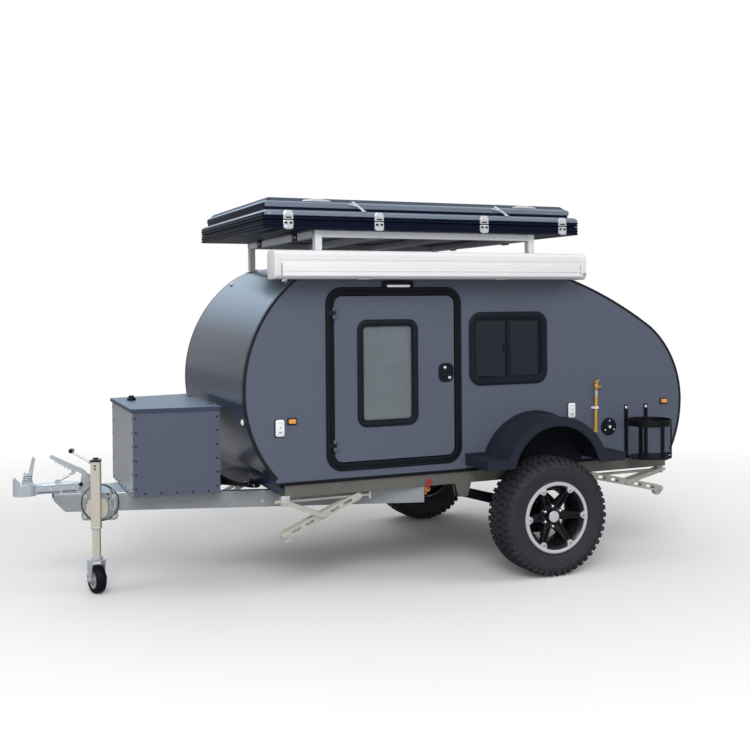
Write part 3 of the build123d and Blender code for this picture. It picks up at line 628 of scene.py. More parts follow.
# Painted sheen: a pale, half metallic copy of the blue box sheet for the toolbox's front, standing in for
# the bright reflection on it.
BOX_FRONT_PAINTED_SHEEN = Finish("box_front_painted_sheen", (182, 185, 190), "blue_panel", 0.3, 240.0, 3e-5, 0.06, Grain.BRUSHED,
    metallic=0.45)
SKIRT = Finish("dark_skirt_sheet", (36, 46, 64), "blue_skin", 0.3, 60.0, 6e-5, 0.05)
# Painted shade: a near black sheet on the wall inside each arch stands in for the shade under the fender.
ARCH_SHADE_SHEET = Finish("arch_painted_shade", (14, 17, 27), "black_plastic", 0.7, 700.0, 0.0003, 0.15, Grain.MOULDED,
    shine=0.3)
CAST = Finish("cast_coupling", (190, 198, 208), "zinc", 0.36, 700.0, 0.0001, 0.12, Grain.MOULDED,
    metallic=0.4, uneven=0.18, dust=0.08)
CABLE_COAT = Finish("coated_cable", (16, 17, 22), "red_cable", 0.4, 1500.0, 5e-5, shine=0.3)
TINT = Pane("tinted_pane", (70, 76, 90), "tint", through=0.72)
# Painted light: the pale door glass stands in for the lit cabin seen through it.
DOOR_PANE_PAINTED_LIGHT = Pane("door_pane_painted_light", (172, 184, 190), "tint", through=0.68)
AMBER = Pane("amber_lens", (246, 176, 84), "amber", through=0.3, roughness=0.08, glow=0.12)
RED = Pane("red_lens", (186, 24, 24), "red", through=0.3, roughness=0.08, glow=0.05)
CLEAR = Pane("clear_lens", (244, 246, 250), "white_plastic", through=0.3, roughness=0.1, glow=0.25)


class Profile:
    """Flat outline of straight runs and arcs, as a list of points."""

    def __init__(self, corners: Sequence[tuple[float, float, float]], step: float = 0.03) -> None:
        """Lay out the outline.

        Args:
            corners: First number, second number and the bow of the arc to the next corner.
            step: Longest piece of an arc.
        """
        self.points: Outline = []
        count = len(corners)
        for index, (u, v, bow) in enumerate(corners):
            nu, nv, _ = corners[(index + 1) % count]
            self.points.append((u, v))
            if not bow:
                continue
            chord = hypot(nu - u, nv - v)
            radius = (chord * chord / 4 + bow * bow) / (2 * abs(bow))
            turn = 2 * asin(min(1.0, chord / 2 / radius))
            side = copysign(1.0, bow)
            reach = radius - abs(bow)
            mu, mv = (u + nu) / 2, (v + nv) / 2
            cu = mu - side * (nv - v) / chord * reach
            cv = mv + side * (nu - u) / chord * reach
            first = atan2(v - cv, u - cu)
            pieces = max(2, int(radius * turn / step))
            for k in range(1, pieces):
                angle = first + side * turn * k / pieces
                self.points.append((cu + radius * cos(angle), cv + radius * sin(angle)))

    def inset(self, by: float) -> Outline:
        """The same outline moved towards its inside by a margin."""
        return moved_in(self.points, by)


def moved_in(points: Outline, by: float) -> Outline:
    """Move a closed outline towards its inside.

    Args:
        points: Corners of the outline in order.
        by: Margin, negative to move outwards.

    Returns:
        As many corners as were given.
    """
    count = len(points)
    area = sum(points[i][0] * points[(i + 1) % count][1] - points[(i + 1) % count][0] * points[i][1]
        for i in range(count))
    way = 1.0 if area > 0 else -1.0
    found = []
    for i, (u, v) in enumerate(points):
        before = vec(u - points[i - 1][0], v - points[i - 1][1]).normalized()
        after = vec(points[(i + 1) % count][0] - u, points[(i + 1) % count][1] - v).normalized()
        normal = vec(-before.y - after.y, before.x + after.x)
        normal.normalize()
        half = max(0.35, sqrt(max(0.0, (1 + before.dot(after)) / 2)))
        found.append((u + way * normal.x * by / half, v + way * normal.y * by / half))
    return found


def rounded(u0: float, u1: float, v0: float, v1: float, radius: float, steps: int = 6) -> Outline:
    """Corners of a rectangle with round corners, counter-clockwise.

    Args:
        u0: Left edge.
        u1: Right edge.
        v0: Lower edge.
        v1: Upper edge.
        radius: Radius of the corners.
        steps: Pieces of each corner.

    Returns:
        The outline.
    """
    found = []
    for cu, cv, start in ((u1 - radius, v1 - radius, 0), (u0 + radius, v1 - radius, 90),
            (u0 + radius, v0 + radius, 180), (u1 - radius, v0 + radius, 270)):
        for k in range(steps + 1):
            angle = radians(start + 90 * k / steps)
            found.append((cu + radius * cos(angle), cv + radius * sin(angle)))
    return found


def square(u0: float, u1: float, v0: float, v1: float) -> Outline:
    """Corners of a rectangle, counter-clockwise."""
    return [(u0, v0), (u1, v0), (u1, v1), (u0, v1)]


def doubled(half: Outline) -> Outline:
    """A turned profile's one half with its mirror image after it."""
    return half + [(r, -w) for r, w in reversed(half)]


class Axis(Enum):
    """Direction that a flat outline is drawn out along, with how its points are laid."""

    X = "x"
    Y = "y"
    Z = "z"

    def place(self, u: float, v: float, w: float) -> Vector:
        """Point of an outline: u and v in its plane, w along this direction.

        Args:
            u: First number in the plane.
            v: Second number in the plane.
            w: Distance along this direction.

        Returns:
            The point.
        """
        if self is Axis.X:
            return vec(w, u, v)
        if self is Axis.Y:
            return vec(u, w, v)
        return vec(u, v, w)


class Shape:
    """Mesh under construction. Its points are metres from the axle."""

    def __init__(self, matrix: Optional[Matrix] = None) -> None:
        """Start empty.

        Args:
            matrix: Place of this shape from the axle, where it isn't drawn there.
        """
        self.bm = bmesh.new()
        self.matrix = matrix or Matrix.Identity(4)
        self.slot = 0

    def _take(self, part: bmesh.types.BMesh) -> None:
        """Add all there is in another mesh and free that one.

        Args:
            part: The other mesh.
        """
        mesh = bpy.data.meshes.new("part")
        part.to_mesh(mesh)
        self.bm.from_mesh(mesh)
        bpy.data.meshes.remove(mesh)
        part.free()

    def _join(self, part: bmesh.types.BMesh, bevel: float = 0.0, segments: int = 2) -> None:
        """Round the edges of one closed part and add it.

        Args:
            part: The closed part.
            bevel: Radius of its edges.
            segments: Faces across each rounded edge.
        """
        bmesh.ops.recalc_face_normals(part, faces=part.faces)
        if bevel:
            sharp = [e for e in part.edges if len(e.link_faces) == 2 and e.calc_face_angle(0.0) > SHARP]
            bmesh.ops.bevel(part, geom=sharp, offset=bevel, segments=segments, profile=0.5, affect="EDGES",
                clamp_overlap=True)
        for face in part.faces:
            face.material_index = self.slot
        part.transform(self.matrix)
        self._take(part)

    def prism(self, outline: Outline, axis: Axis, start: float, end: float, bevel: float = 0.0,
            segments: int = 2) -> None:
        """Draw a flat outline out along an axis.

        Args:
            outline: Corners in the plane across the axis.
            axis: Direction of the depth.
            start: Where the depth begins.
            end: Where the depth ends.
            bevel: Radius of the rounded edges.
            segments: Faces across each rounded edge.
        """
        part = bmesh.new()
        low, high = ([part.verts.new(axis.place(u, v, w)) for u, v in outline] for w in (start, end))
        part.faces.new(low)
        part.faces.new(high)
        for i in range(len(low)):
            j = (i + 1) % len(low)
            part.faces.new((low[i], low[j], high[j], high[i]))
        self._join(part, bevel, segments)

    def mapped(self, outline: Outline, low: float, high: float, place: Callable[[float, float, float],
            Vector], draft: float = 0.0) -> None:
        """Draw an outline out from a curved surface.

        Args:
            outline: Corners on the surface.
            low: Depth of the foot.
            high: Depth of the top.
            place: Turns the two numbers of a corner and a depth into a point.
            draft: Share by which the top is smaller than the foot.
        """
        mu = sum(u for u, _ in outline) / len(outline)
        mv = sum(v for _, v in outline) / len(outline)
        self.loft([[place(mu + (u - mu) * share, mv + (v - mv) * share, depth) for u, v in outline]
            for depth, share in ((low, 1.0), (high, 1.0 - draft))])

    def band(self, outer: Outline, inner: Outline, axis: Axis, start: float, end: float,
            bevel: float = 0.0) -> None:
        """Closed frame between two outlines of as many corners."""
        self.loft([[axis.place(u, v, w) for u, v in line] for line, w in ((outer, start), (outer, end),
            (inner, end), (inner, start))], closed=True, bevel=bevel)

    def block(self, low: Point, high: Point, bevel: float = 0.0) -> None:
        """Block between two corners with rounded edges."""
        self.prism(square(low[0], high[0], low[1], high[1]), Axis.Z, low[2], high[2], bevel)

    def loft(self, rings: Sequence[Sequence[Point]], closed: bool = False, bevel: float = 0.0) -> None:
        """Skin over rings of as many points each.

        Args:
            rings: Closed rings of points in order.
            closed: Whether the last ring joins the first, or else both ends are filled.
            bevel: Radius of the rounded edges.
        """
        part = bmesh.new()
        made = [[part.verts.new(Vector(p)) for p in ring] for ring in rings]
        for one, two in zip(made, made[1:] + (made[:1] if closed else [])):
            for i in range(len(one)):
                j = (i + 1) % len(one)
                part.faces.new((one[i], one[j], two[j], two[i]))
        if not closed:
            part.faces.new(made[0])
            part.faces.new(list(reversed(made[-1])))
        self._join(part, bevel)

    def tube(self, points: Sequence[Point], radius: float, sides: int = 12, closed: bool = False) -> None:
        """Round bar that follows points.

        Args:
            points: Its middle line.
            radius: Half its thickness.
            sides: Faces around.
            closed: Whether the last point joins the first.
        """
        line = [Vector(p) for p in points]
        rings = []
        last = len(line) - 1
        side = None
        for i, p in enumerate(line):
            before = line[i - 1] if i or closed else p
            after = line[(i + 1) % len(line)] if i < last or closed else p
            along = (after - before).normalized()
            if side is None:
                side = along.orthogonal().normalized()
            side = (side - along * side.dot(along)).normalized()
            up = along.cross(side)
            rings.append([p + (side * cos(a) + up * sin(a)) * radius for a in around(sides)])
        self.loft(rings, closed)

    def lathe(self, profile: Outline, centre: Point, steps: int = 48, axis: Axis = Axis.Y,
            closed: bool = False) -> None:
        """Turn a profile of radius and depth round an axis through a centre.

        Args:
            profile: Pairs of radius and distance along the axis.
            centre: Point on the axis.
            steps: Faces around.
            axis: Direction of the axis.
            closed: Whether the profile is a closed section.
        """
        part = bmesh.new()
        middle = Vector(centre)
        rings = [[part.verts.new(middle + axis.place(r * cos(a), r * sin(a), w)) for r, w in profile]
            for a in around(steps)]
        count = len(profile)
        for k in range(steps):
            one, two = rings[k], rings[(k + 1) % steps]
            for i in range(count if closed else count - 1):
                j = (i + 1) % count
                part.faces.new((one[i], one[j], two[j], two[i]))
        for i in () if closed else (0, count - 1):
            if profile[i][0] > TOUCH:
                part.faces.new([ring[i] for ring in rings])
        bmesh.ops.remove_doubles(part, verts=part.verts, dist=TOUCH)
        self._join(part)

    def _turned(self, foot: Vector, way: Vector, stops: Outline, sides: int) -> None:
        """Round solid along a way from its foot.

        Args:
            foot: Where the distances start.
            way: Direction of the middle line.
            stops: Pairs of radius and distance.
            sides: Faces around.
        """
        side = way.orthogonal().normalized()
        up = way.cross(side)
        self.loft([[foot + way * w + (side * cos(t) + up * sin(t)) * r for t in around(sides)] for r,
            w in stops])

    def pin(self, start: Point, end: Point, radius: float, sides: int = 16, bevel: float = 0.0) -> None:
        """Round pin with rounded rims between two points.

        Args:
            start: Middle of one end.
            end: Middle of the other end.
            radius: Its radius.
            sides: Faces around, 6 for a hexagon.
            bevel: Size of the rounded rims.
        """
        foot = Vector(start)
        run = Vector(end) - foot
        edge = min(bevel, radius * 0.45)
        stops = [(radius, edge), (radius, run.length - edge)]
        if edge:
            stops = [(radius - edge, 0.0), *stops, (radius - edge, run.length)]
        self._turned(foot, run.normalized(), stops, sides)

    def bolt(self, place: Point, facing: Point, across: float, height: float) -> None:
        """Hexagon head on a washer.

        Args:
            place: Point on the surface under it.
            facing: Direction that the head looks.
            across: Width over the corners.
            height: Height of the head.
        """
        foot, way = Vector(place), Vector(facing).normalized()
        start = foot + way * height * 0.3
        self.pin(foot - way * SUNK, start, across * 0.75, 18, across * 0.06)
        self.pin(start, start + way * height, across / 2, 6, across * 0.06)

    def rivet(self, place: Point, facing: Point, radius: float, height: float) -> None:
        """Low domed head."""
        self._turned(Vector(place), Vector(facing).normalized(), [(radius, -SUNK), (radius, height * 0.35),
            (radius * 0.72, height * 0.8), (radius * 0.3, height)], 12)

    def mirrored(self) -> "Shape":
        """Add the mirror image of all there is on the other side of the trailer.

        Returns:
            The shape itself.
        """
        copy = self.bm.copy()
        flip(copy)
        self._take(copy)
        return self

    def piece(self, name: str, body: str, *finishes: Look, smooth: float = 35.0,
            side: int = 1) -> bpy.types.Object:
        """Turn the shape into a finished piece that rides on a body.

        Args:
            name: Name of the piece.
            body: CAD body that carries it.
            *finishes: Finishes in the order of the slots that the parts were drawn with.
            smooth: Edges sharper than this many degrees stay sharp.
            side: 1 to keep it on the left, -1 to mirror it to the right.

        Returns:
            The new object.
        """
        mesh = bpy.data.meshes.new(name)
        if side < 0:
            flip(self.bm)
        self.bm.transform(Matrix.Translation((AXLE_X, 0, 0)))
        self.bm.to_mesh(mesh)
        self.bm.free()
        for finish in finishes:
            mesh.materials.append(finish.material())
        mesh.shade_smooth()
        mesh.set_sharp_from_angle(angle=radians(smooth))
        item = show(name, mesh)
        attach(item, body)
        log.info("%s rides on %s with %d faces", name, body, len(mesh.polygons))
        return item


def flip(bm: bmesh.types.BMesh) -> None:
    """Mirror a mesh to the other side of the trailer."""
    bm.transform(Matrix.Scale(-1, 4, (0, 1, 0)))
    bmesh.ops.reverse_faces(bm, faces=bm.faces)


def dress(node: str, finish: Look, bevel: float = 0.0, edges: Optional[Finish] = None) -> None:
    """Give a CAD node its finish and rounded edges.

    Args:
        node: Name of the CAD node.
        finish: What it is made of.
        bevel: Radius of its edges, or nothing.
        edges: Finish of the faces that don't look along y, where it differs.
    """
    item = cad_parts[node]
    item.data.materials.clear()
    item.data.materials.append(finish.material())
    if edges:
        item.data.materials.append(edges.material())
    for face in item.data.polygons:
        face.material_index = 1 if edges and abs(face.normal.y) < 0.5 else 0
    item.data.shade_smooth()
    weld = item.modifiers.new("weld", "WELD")
    weld.merge_threshold = WELD
    if bevel:
        edge = item.modifiers.new("edge", "BEVEL")
        edge.width = bevel
        edge.segments = 2
        edge.limit_method = "ANGLE"
        edge.angle_limit = CREASE
        normals = item.modifiers.new("normals", "WEIGHTED_NORMAL")
        normals.keep_sharp = False
    else:
        split = item.modifiers.new("split", "EDGE_SPLIT")
        split.split_angle = CREASE
        split.use_edge_sharp = False
    log.info("%s wears %s", node, finish.name)


@dataclass
class Studio:
    """Camera, lamps, world and floor.

    Attributes:
        eye: Camera place in the CAD frame.
        yaw: Turn of the view from straight across, in degrees.
        pitch: How far the view looks down, in degrees.
        roll: Turn of the picture, in degrees.
        focal: Focal length in pixels of a 750 pixel frame.
        middle: Place of the optical axis in that frame.
        frame_px: Width and height of the frame.
        sensor: Width of the camera's sensor in millimetres.
        near_floor: Distance from the middle where the floor starts to turn plain white.
        far_floor: Distance where it is plain white.
        card: Strength of the pale card behind the trailer that its gloss reflects.
        lamps: Name, place, aim, size and power of each lamp.
    """

    eye: tuple[float, float, float] = (2.3538, 6.4292, 1.6197)
    yaw: float = 24.518
    pitch: float = 0.59
    roll: float = 0.444
    focal: float = 1070.46
    middle: tuple[float, float] = (431.67, 312.53)
    frame_px: float = 750.0
    sensor: float = 36.0
    near_floor: float = 2.6
    far_floor: float = 6.0
    card: float = 2.2
    lamps: tuple[tuple[str, Point, Point, float, float], ...] = (("key", (3.5, 9.0, 7.0), (0.0, 0.0, 1.0),
        5.0, 540.0), ("low_fill", (2.0, 8.0, 1.4), (0.2, 0.0, 1.1), 3.0, 95.0),
        ("front_fill", (9.0, 2.0, 3.0), (1.0, 0.0, 1.0), 4.0, 120.0), ("rear_fill", (-7.5, 4.5, 6.0),
        (-1.0, 0.0, 1.0), 5.0, 180.0), ("far_fill", (0.0, -8.0, 8.0), (0.0, 0.0, 1.0), 5.0, 140.0))

    def camera(self) -> None:
        """Put the camera where the photograph was taken."""
        data = bpy.data.cameras.new("camera")
        data.sensor_width = self.sensor
        data.lens = self.focal / self.frame_px * self.sensor
        data.shift_x = -(self.middle[0] - self.frame_px / 2) / self.frame_px
        data.shift_y = (self.middle[1] - self.frame_px / 2) / self.frame_px
        data.clip_start, data.clip_end = 0.1, 200.0
        item = show("camera", data)
        yaw, pitch, roll = (radians(a) for a in (self.yaw, self.pitch, self.roll))
        ahead = vec(-sin(yaw) * cos(pitch), -cos(yaw) * cos(pitch), -sin(pitch))
        right = vec(-cos(yaw), sin(yaw), 0.0)
        down = ahead.cross(right)
        turned_right = right * cos(roll) + down * sin(roll)
        turned_down = down * cos(roll) - right * sin(roll)
        turn = Matrix((turned_right, -turned_down, -ahead)).transposed()
        item.matrix_world = Matrix.Translation(self.eye) @ turn.to_4x4()
        bpy.context.scene.camera = item

    def seen_directly(self, nodes: Nodes) -> Socket:
        """1 for what the camera shows, also through glass, and 0 for the light on the object."""
        path = nodes.add("LightPath")
        return nodes.math("MAXIMUM", path.outputs["Is Camera Ray"], path.outputs["Is Transmission Ray"])

    def world(self) -> None:
        """Plain white surroundings with a softer strength for the light they give."""
        world = bpy.data.worlds.new("studio")
        bpy.context.scene.world = world
        world.use_nodes = True
        nodes = Nodes(world.node_tree)
        back = world.node_tree.nodes["Background"]
        split = nodes.add("SeparateXYZ", Vector=nodes.add("TexCoord").outputs["Generated"])
        sky = nodes.span(split.outputs["Z"], -0.05, 0.6, 0.36, 0.62)
        behind = nodes.span(split.outputs["Y"], -0.3, -0.75, 0.0, self.card)
        card = nodes.times(behind, nodes.span(split.outputs["Z"], 0.15, 0.42))
        card = nodes.times(card, nodes.add("LightPath").outputs["Is Glossy Ray"])
        strength = nodes.add("Mix", data_type="FLOAT")
        nodes.feed(strength.inputs["Factor"], self.seen_directly(nodes))
        nodes.feed(strength.inputs[2], nodes.math("ADD", sky, card))
        nodes.feed(strength.inputs[3], 1.0)
        unseen = nodes.math("SUBTRACT", 1.0, self.seen_directly(nodes))
        tint = nodes.times(nodes.span(card, 0.0, 0.5), unseen)
        nodes.feed(back.inputs["Color"], nodes.blend(tint, (1.0, 1.0, 1.0), (0.68, 0.84, 1.0)))
        nodes.feed(back.inputs["Strength"], strength.outputs[0])

    def lamp(self, name: str, place: Point, aim: Point, size: float, power: float) -> None:
        """Add one large soft lamp.

        Args:
            name: Name of the lamp.
            place: Where it hangs.
            aim: Point that it faces.
            size: Side of its square.
            power: Light in watts.
        """
        data = bpy.data.lights.new(name, "AREA")
        data.size = size
        data.energy = power
        item = show(name, data)
        item.visible_glossy = name == "key"
        item.location = place
        item.rotation_euler = (Vector(aim) - Vector(place)).to_track_quat("-Z", "Y").to_euler()

    def floor(self) -> None:
        """Plain pale floor."""
        mesh = bpy.data.meshes.new("floor")
        far = 60.0
        mesh.from_pydata([(-far, -far, 0), (far, -far, 0), (far, far, 0), (-far, far, 0)], [],
            [(0, 1, 2, 3)])
        item = show("floor", mesh)
        material = bpy.data.materials.new("pale_floor")
        material.use_nodes = True
        nodes = Nodes(material.node_tree)
        shader = material.node_tree.nodes["Principled BSDF"]
        bounce = nodes.blend(self.seen_directly(nodes), (0.34, 0.34, 0.35), (0.9, 0.9, 0.9))
        nodes.feed(shader.inputs["Base Color"], bounce)
        shader.inputs["Roughness"].default_value = 0.9
        shader.inputs["Specular IOR Level"].default_value = 0.1
        white = nodes.add("Emission")
        white.inputs["Color"].default_value = (1.0, 1.0, 1.0, 1.0)
        away = nodes.add("VectorMath", operation="LENGTH")
        nodes.feed(away.inputs[0], nodes.add("NewGeometry").outputs["Position"])
        far_share = nodes.span(away.outputs["Value"], self.near_floor, self.far_floor)
        share = nodes.times(far_share, self.seen_directly(nodes))
        mixed = nodes.add("MixShader")
        nodes.feed(mixed.inputs[0], share)
        nodes.feed(mixed.inputs[1], shader.outputs["BSDF"])
        nodes.feed(mixed.inputs[2], white.outputs["Emission"])
        end = material.node_tree.nodes["Material Output"]
        nodes.feed(end.inputs["Surface"], mixed.outputs["Shader"])
        mesh.materials.append(material)

    def build(self) -> None:
        """Set up the whole studio."""
        bpy.context.scene.view_settings.view_transform = "Standard"
        self.camera()
        self.world()
        self.floor()
        for row in self.lamps:
            self.lamp(*row)


class SubAssembly:
    """Group of pieces that belong together and are built in one go."""

    def build(self) -> None:
        """Make every piece of the group."""
        raise NotImplementedError


@dataclass
class Bodywork(SubAssembly):
    """Finishes of the CAD nodes that keep their own shape.

    Attributes:
        plain: Rows of a look, the radius of the edges and the nodes that get them.
    """

    plain: tuple[tuple, ...] = ((SKIN, 0.0, "front_panel", "roof_panel", "rear_panel", "galley_hatch"),
        (BLACK_METAL, 0.0, "hatch_hinges"), (UNDERBODY, 0.0, "cabin_floor"), (BLACK, 0.005, "door_frames"),
        (PANEL, 0.003, "left_door", "right_door"), (BLACK, 0.003, "left_door_window", "right_door_window",
        # The door glass is made pale as painted light from the cabin behind it.
        "side_window_frames", "filler_disc"), (DOOR_PANE_PAINTED_LIGHT, 0.0, "left_door_glass", "right_door_glass"),
        # The chassis frame wears the zinc that is darkened as painted shade.
        (TINT, 0.0, "side_window_panes"), (FRAME_PAINTED_SHADE, 0.003, "chassis_frame"), (ZINC, 0.004, "drawbar"),
        (CAST, 0.004, "coupler_head"), (PLATED, 0.001, "brake_quadrant", "jockey_fork", "cable_hook"),
        (PLATED, 0.002, "handbrake_lever"), (BLACK_METAL, 0.003, "trailing_arms"),
        (RUBBER, 0.0, "suspension_springs", "jockey_wheel"), (ARCH, 0.005, "fenders"),
        (SILVER, 0.003, "roof_rack"), (WHITE, 0.0, "awning_case"), (GLOSS_BLACK, 0.003, "tent_base"),
        (GLOSS_BLACK, 0.004, "tent_lid"), (LID_BLUE, 0.001, "toolbox_lid"),
        (STEADY_ZINC, 0.001, "steady_spindles"), (ZINC, 0.001, "jockey_bracket"),
        (TUBE_ZINC, 0.002, "jockey_tube", "jockey_leg"), (BLACK_METAL, 0.001, "bottle_holder"),
        (TANK, 0.01, "water_tank"), (AMBER, 0.002, "amber_markers"), (WHITE_PLASTIC, 0.003, "socket_covers"),
        (RED, 0.003, "tail_lamps"), (WOOD, 0.0, "cabin_fitout"))

    def build(self) -> None:
        """Dress every node of the list, both walls and the eight steady arms."""
        for finish, bevel, *nodes in self.plain:
            for node in nodes:
                dress(node, finish, bevel)
        # The toolbox's faces that don't look along y get the pale copy of its sheet as a painted sheen.
        dress("toolbox", BOX_BLUE, 0.001, edges=BOX_FRONT_PAINTED_SHEEN)
        for side in SIDES:
            dress(f"{side}_wall", PANEL, edges=EDGE_BLACK)
        for end in ("front", "rear"):
            for side in SIDES:
                for part in ("link", "leg"):
                    dress(f"{end}_{side}_steady_{part}", STEADY_ZINC, 0.001)


@dataclass
class Cabin(SubAssembly):
    """Edge trim, foot seals, front skirt, tail plate and hatch latches.

    Attributes:
        line: Corners of the side view with the bow of the arc after each.
        foot: Lower edge of the walls.
        lip: Width of the raised lip.
        trim: Width of the whole trim.
    """

    line: tuple[tuple[float, float, float], ...] = ((1.6, 0.574, 0.0), (1.612, 0.65, 0.0465),
        (1.792, 1.13, 0.0763), (1.501, 1.747, 0.0266), (1.214, 1.85, 0.0), (0.291, 1.85, 0.0246),
        (-0.279, 1.752, 0.0211), (-0.87, 1.453, 0.0605), (-1.108, 0.985, 0.0205), (-1.027, 0.65, 0.0),
        (-1.022, 0.574, 0.0))
    foot: float = 0.632
    lip: float = 0.0035
    trim: float = 0.015

    def strip(self, outer: float, inner: float, start: float, end: float) -> list[list[Vector]]:
        """Rings of a strip that runs round the wall's edge above its foot.

        Args:
            outer: Inset of its outer edge.
            inner: Inset of its inner edge.
            start: Lower y.
            end: Upper y.

        Returns:
            Rings of four points for a loft.
        """
        profile = Profile(self.line)
        keep = [i for i, (_, z) in enumerate(profile.points) if z >= self.foot]
        one, two = profile.inset(outer), profile.inset(inner)
        return [[vec(one[i][0], start, one[i][1]), vec(one[i][0], end, one[i][1]),
            vec(two[i][0], end, two[i][1]), vec(two[i][0], start, two[i][1])] for i in keep]

    def trims(self) -> None:
        """Dark edge trim with a raised outer lip on both walls."""
        shape = Shape()
        shape.loft(self.strip(0.0003, self.trim, WALL - 0.001, WALL + 0.0014))
        shape.loft(self.strip(0.0003, self.lip, WALL - 0.001, WALL + 0.0024))
        shape.mirrored().piece("wall_edge_trim", TRAILER, EDGE_BLACK, smooth=40.0)

    def foot_seals(self) -> None:
        """Black strip between each wall and the sill, and the dark skirt under the front skin."""
        shape = Shape()
        shape.block((-1.026, WALL - 0.012, 0.614), (1.59, WALL + 0.003, 0.632), 0.003)
        shape.mirrored().piece("wall_foot_seal", TRAILER, RUBBER)
        half = WALL - 0.004
        skirt = Shape()
        skirt.prism([(1.5995, 0.5745), (1.6035, 0.574), (1.6165, 0.656), (1.615, 0.662), (1.612, 0.662)],
            Axis.Y, -half, half, 0.0008)
        skirt.prism([(1.5985, 0.5735), (1.6065, 0.5735), (1.6075, 0.579), (1.602, 0.579)], Axis.Y, -half,
            half, 0.0005)
        skirt.piece("front_skirt", TRAILER, SKIRT)

    def hatch(self) -> None:
        """Recessed latches and a pull on the rear hatch."""
        turn = Matrix.Translation((-1.094, 0.0, 0.86)) @ Matrix.Rotation(radians(-10.0), 4, "Y")
        shape = Shape(turn)
        for y in (-0.45, 0.45):
            shape.prism(rounded(y - 0.06, y + 0.06, -0.045, 0.045, 0.014), Axis.X, -0.006, 0.01, 0.002)
            shape.slot = 1
            shape.prism(rounded(y - 0.04, y + 0.04, -0.02, 0.024, 0.008), Axis.X, -0.01, 0.0, 0.002)
            shape.pin((-0.0055, y, -0.032), (-0.009, y, -0.032), 0.008, 20, 0.001)
            shape.slot = 0
        shape.prism(rounded(-0.09, 0.09, -0.03, -0.012, 0.008), Axis.X, -0.0095, 0.01, 0.004)
        shape.piece("hatch_latches", "hatch", BLACK, SILVER)

    def tail_plate(self) -> None:
        """Blank number plate in its holder, low on the tail."""
        turn = Matrix.Translation((-1.049, 0.0, 0.7)) @ Matrix.Rotation(radians(-23.0), 4, "Y")
        shape = Shape(turn)
        shape.prism(rounded(-0.268, 0.268, -0.062, 0.062, 0.01), Axis.X, -0.01, 0.004, 0.002)
        shape.slot = 1
        shape.prism(rounded(-0.258, 0.258, -0.054, 0.054, 0.006), Axis.X, -0.0125, -0.008, 0.0008)
        shape.slot = 0
        for y in (-0.21, 0.21):
            shape.rivet((-0.012, y, 0.0), (-1, 0, 0), 0.006, 0.003)
        shape.piece("blank_plate", TRAILER, BLACK, WHITE_PLASTIC)

    def build(self) -> None:
        """Make the trims, seals, latches and the plate."""
        self.trims()
        self.foot_seals()
        self.hatch()
        self.tail_plate()


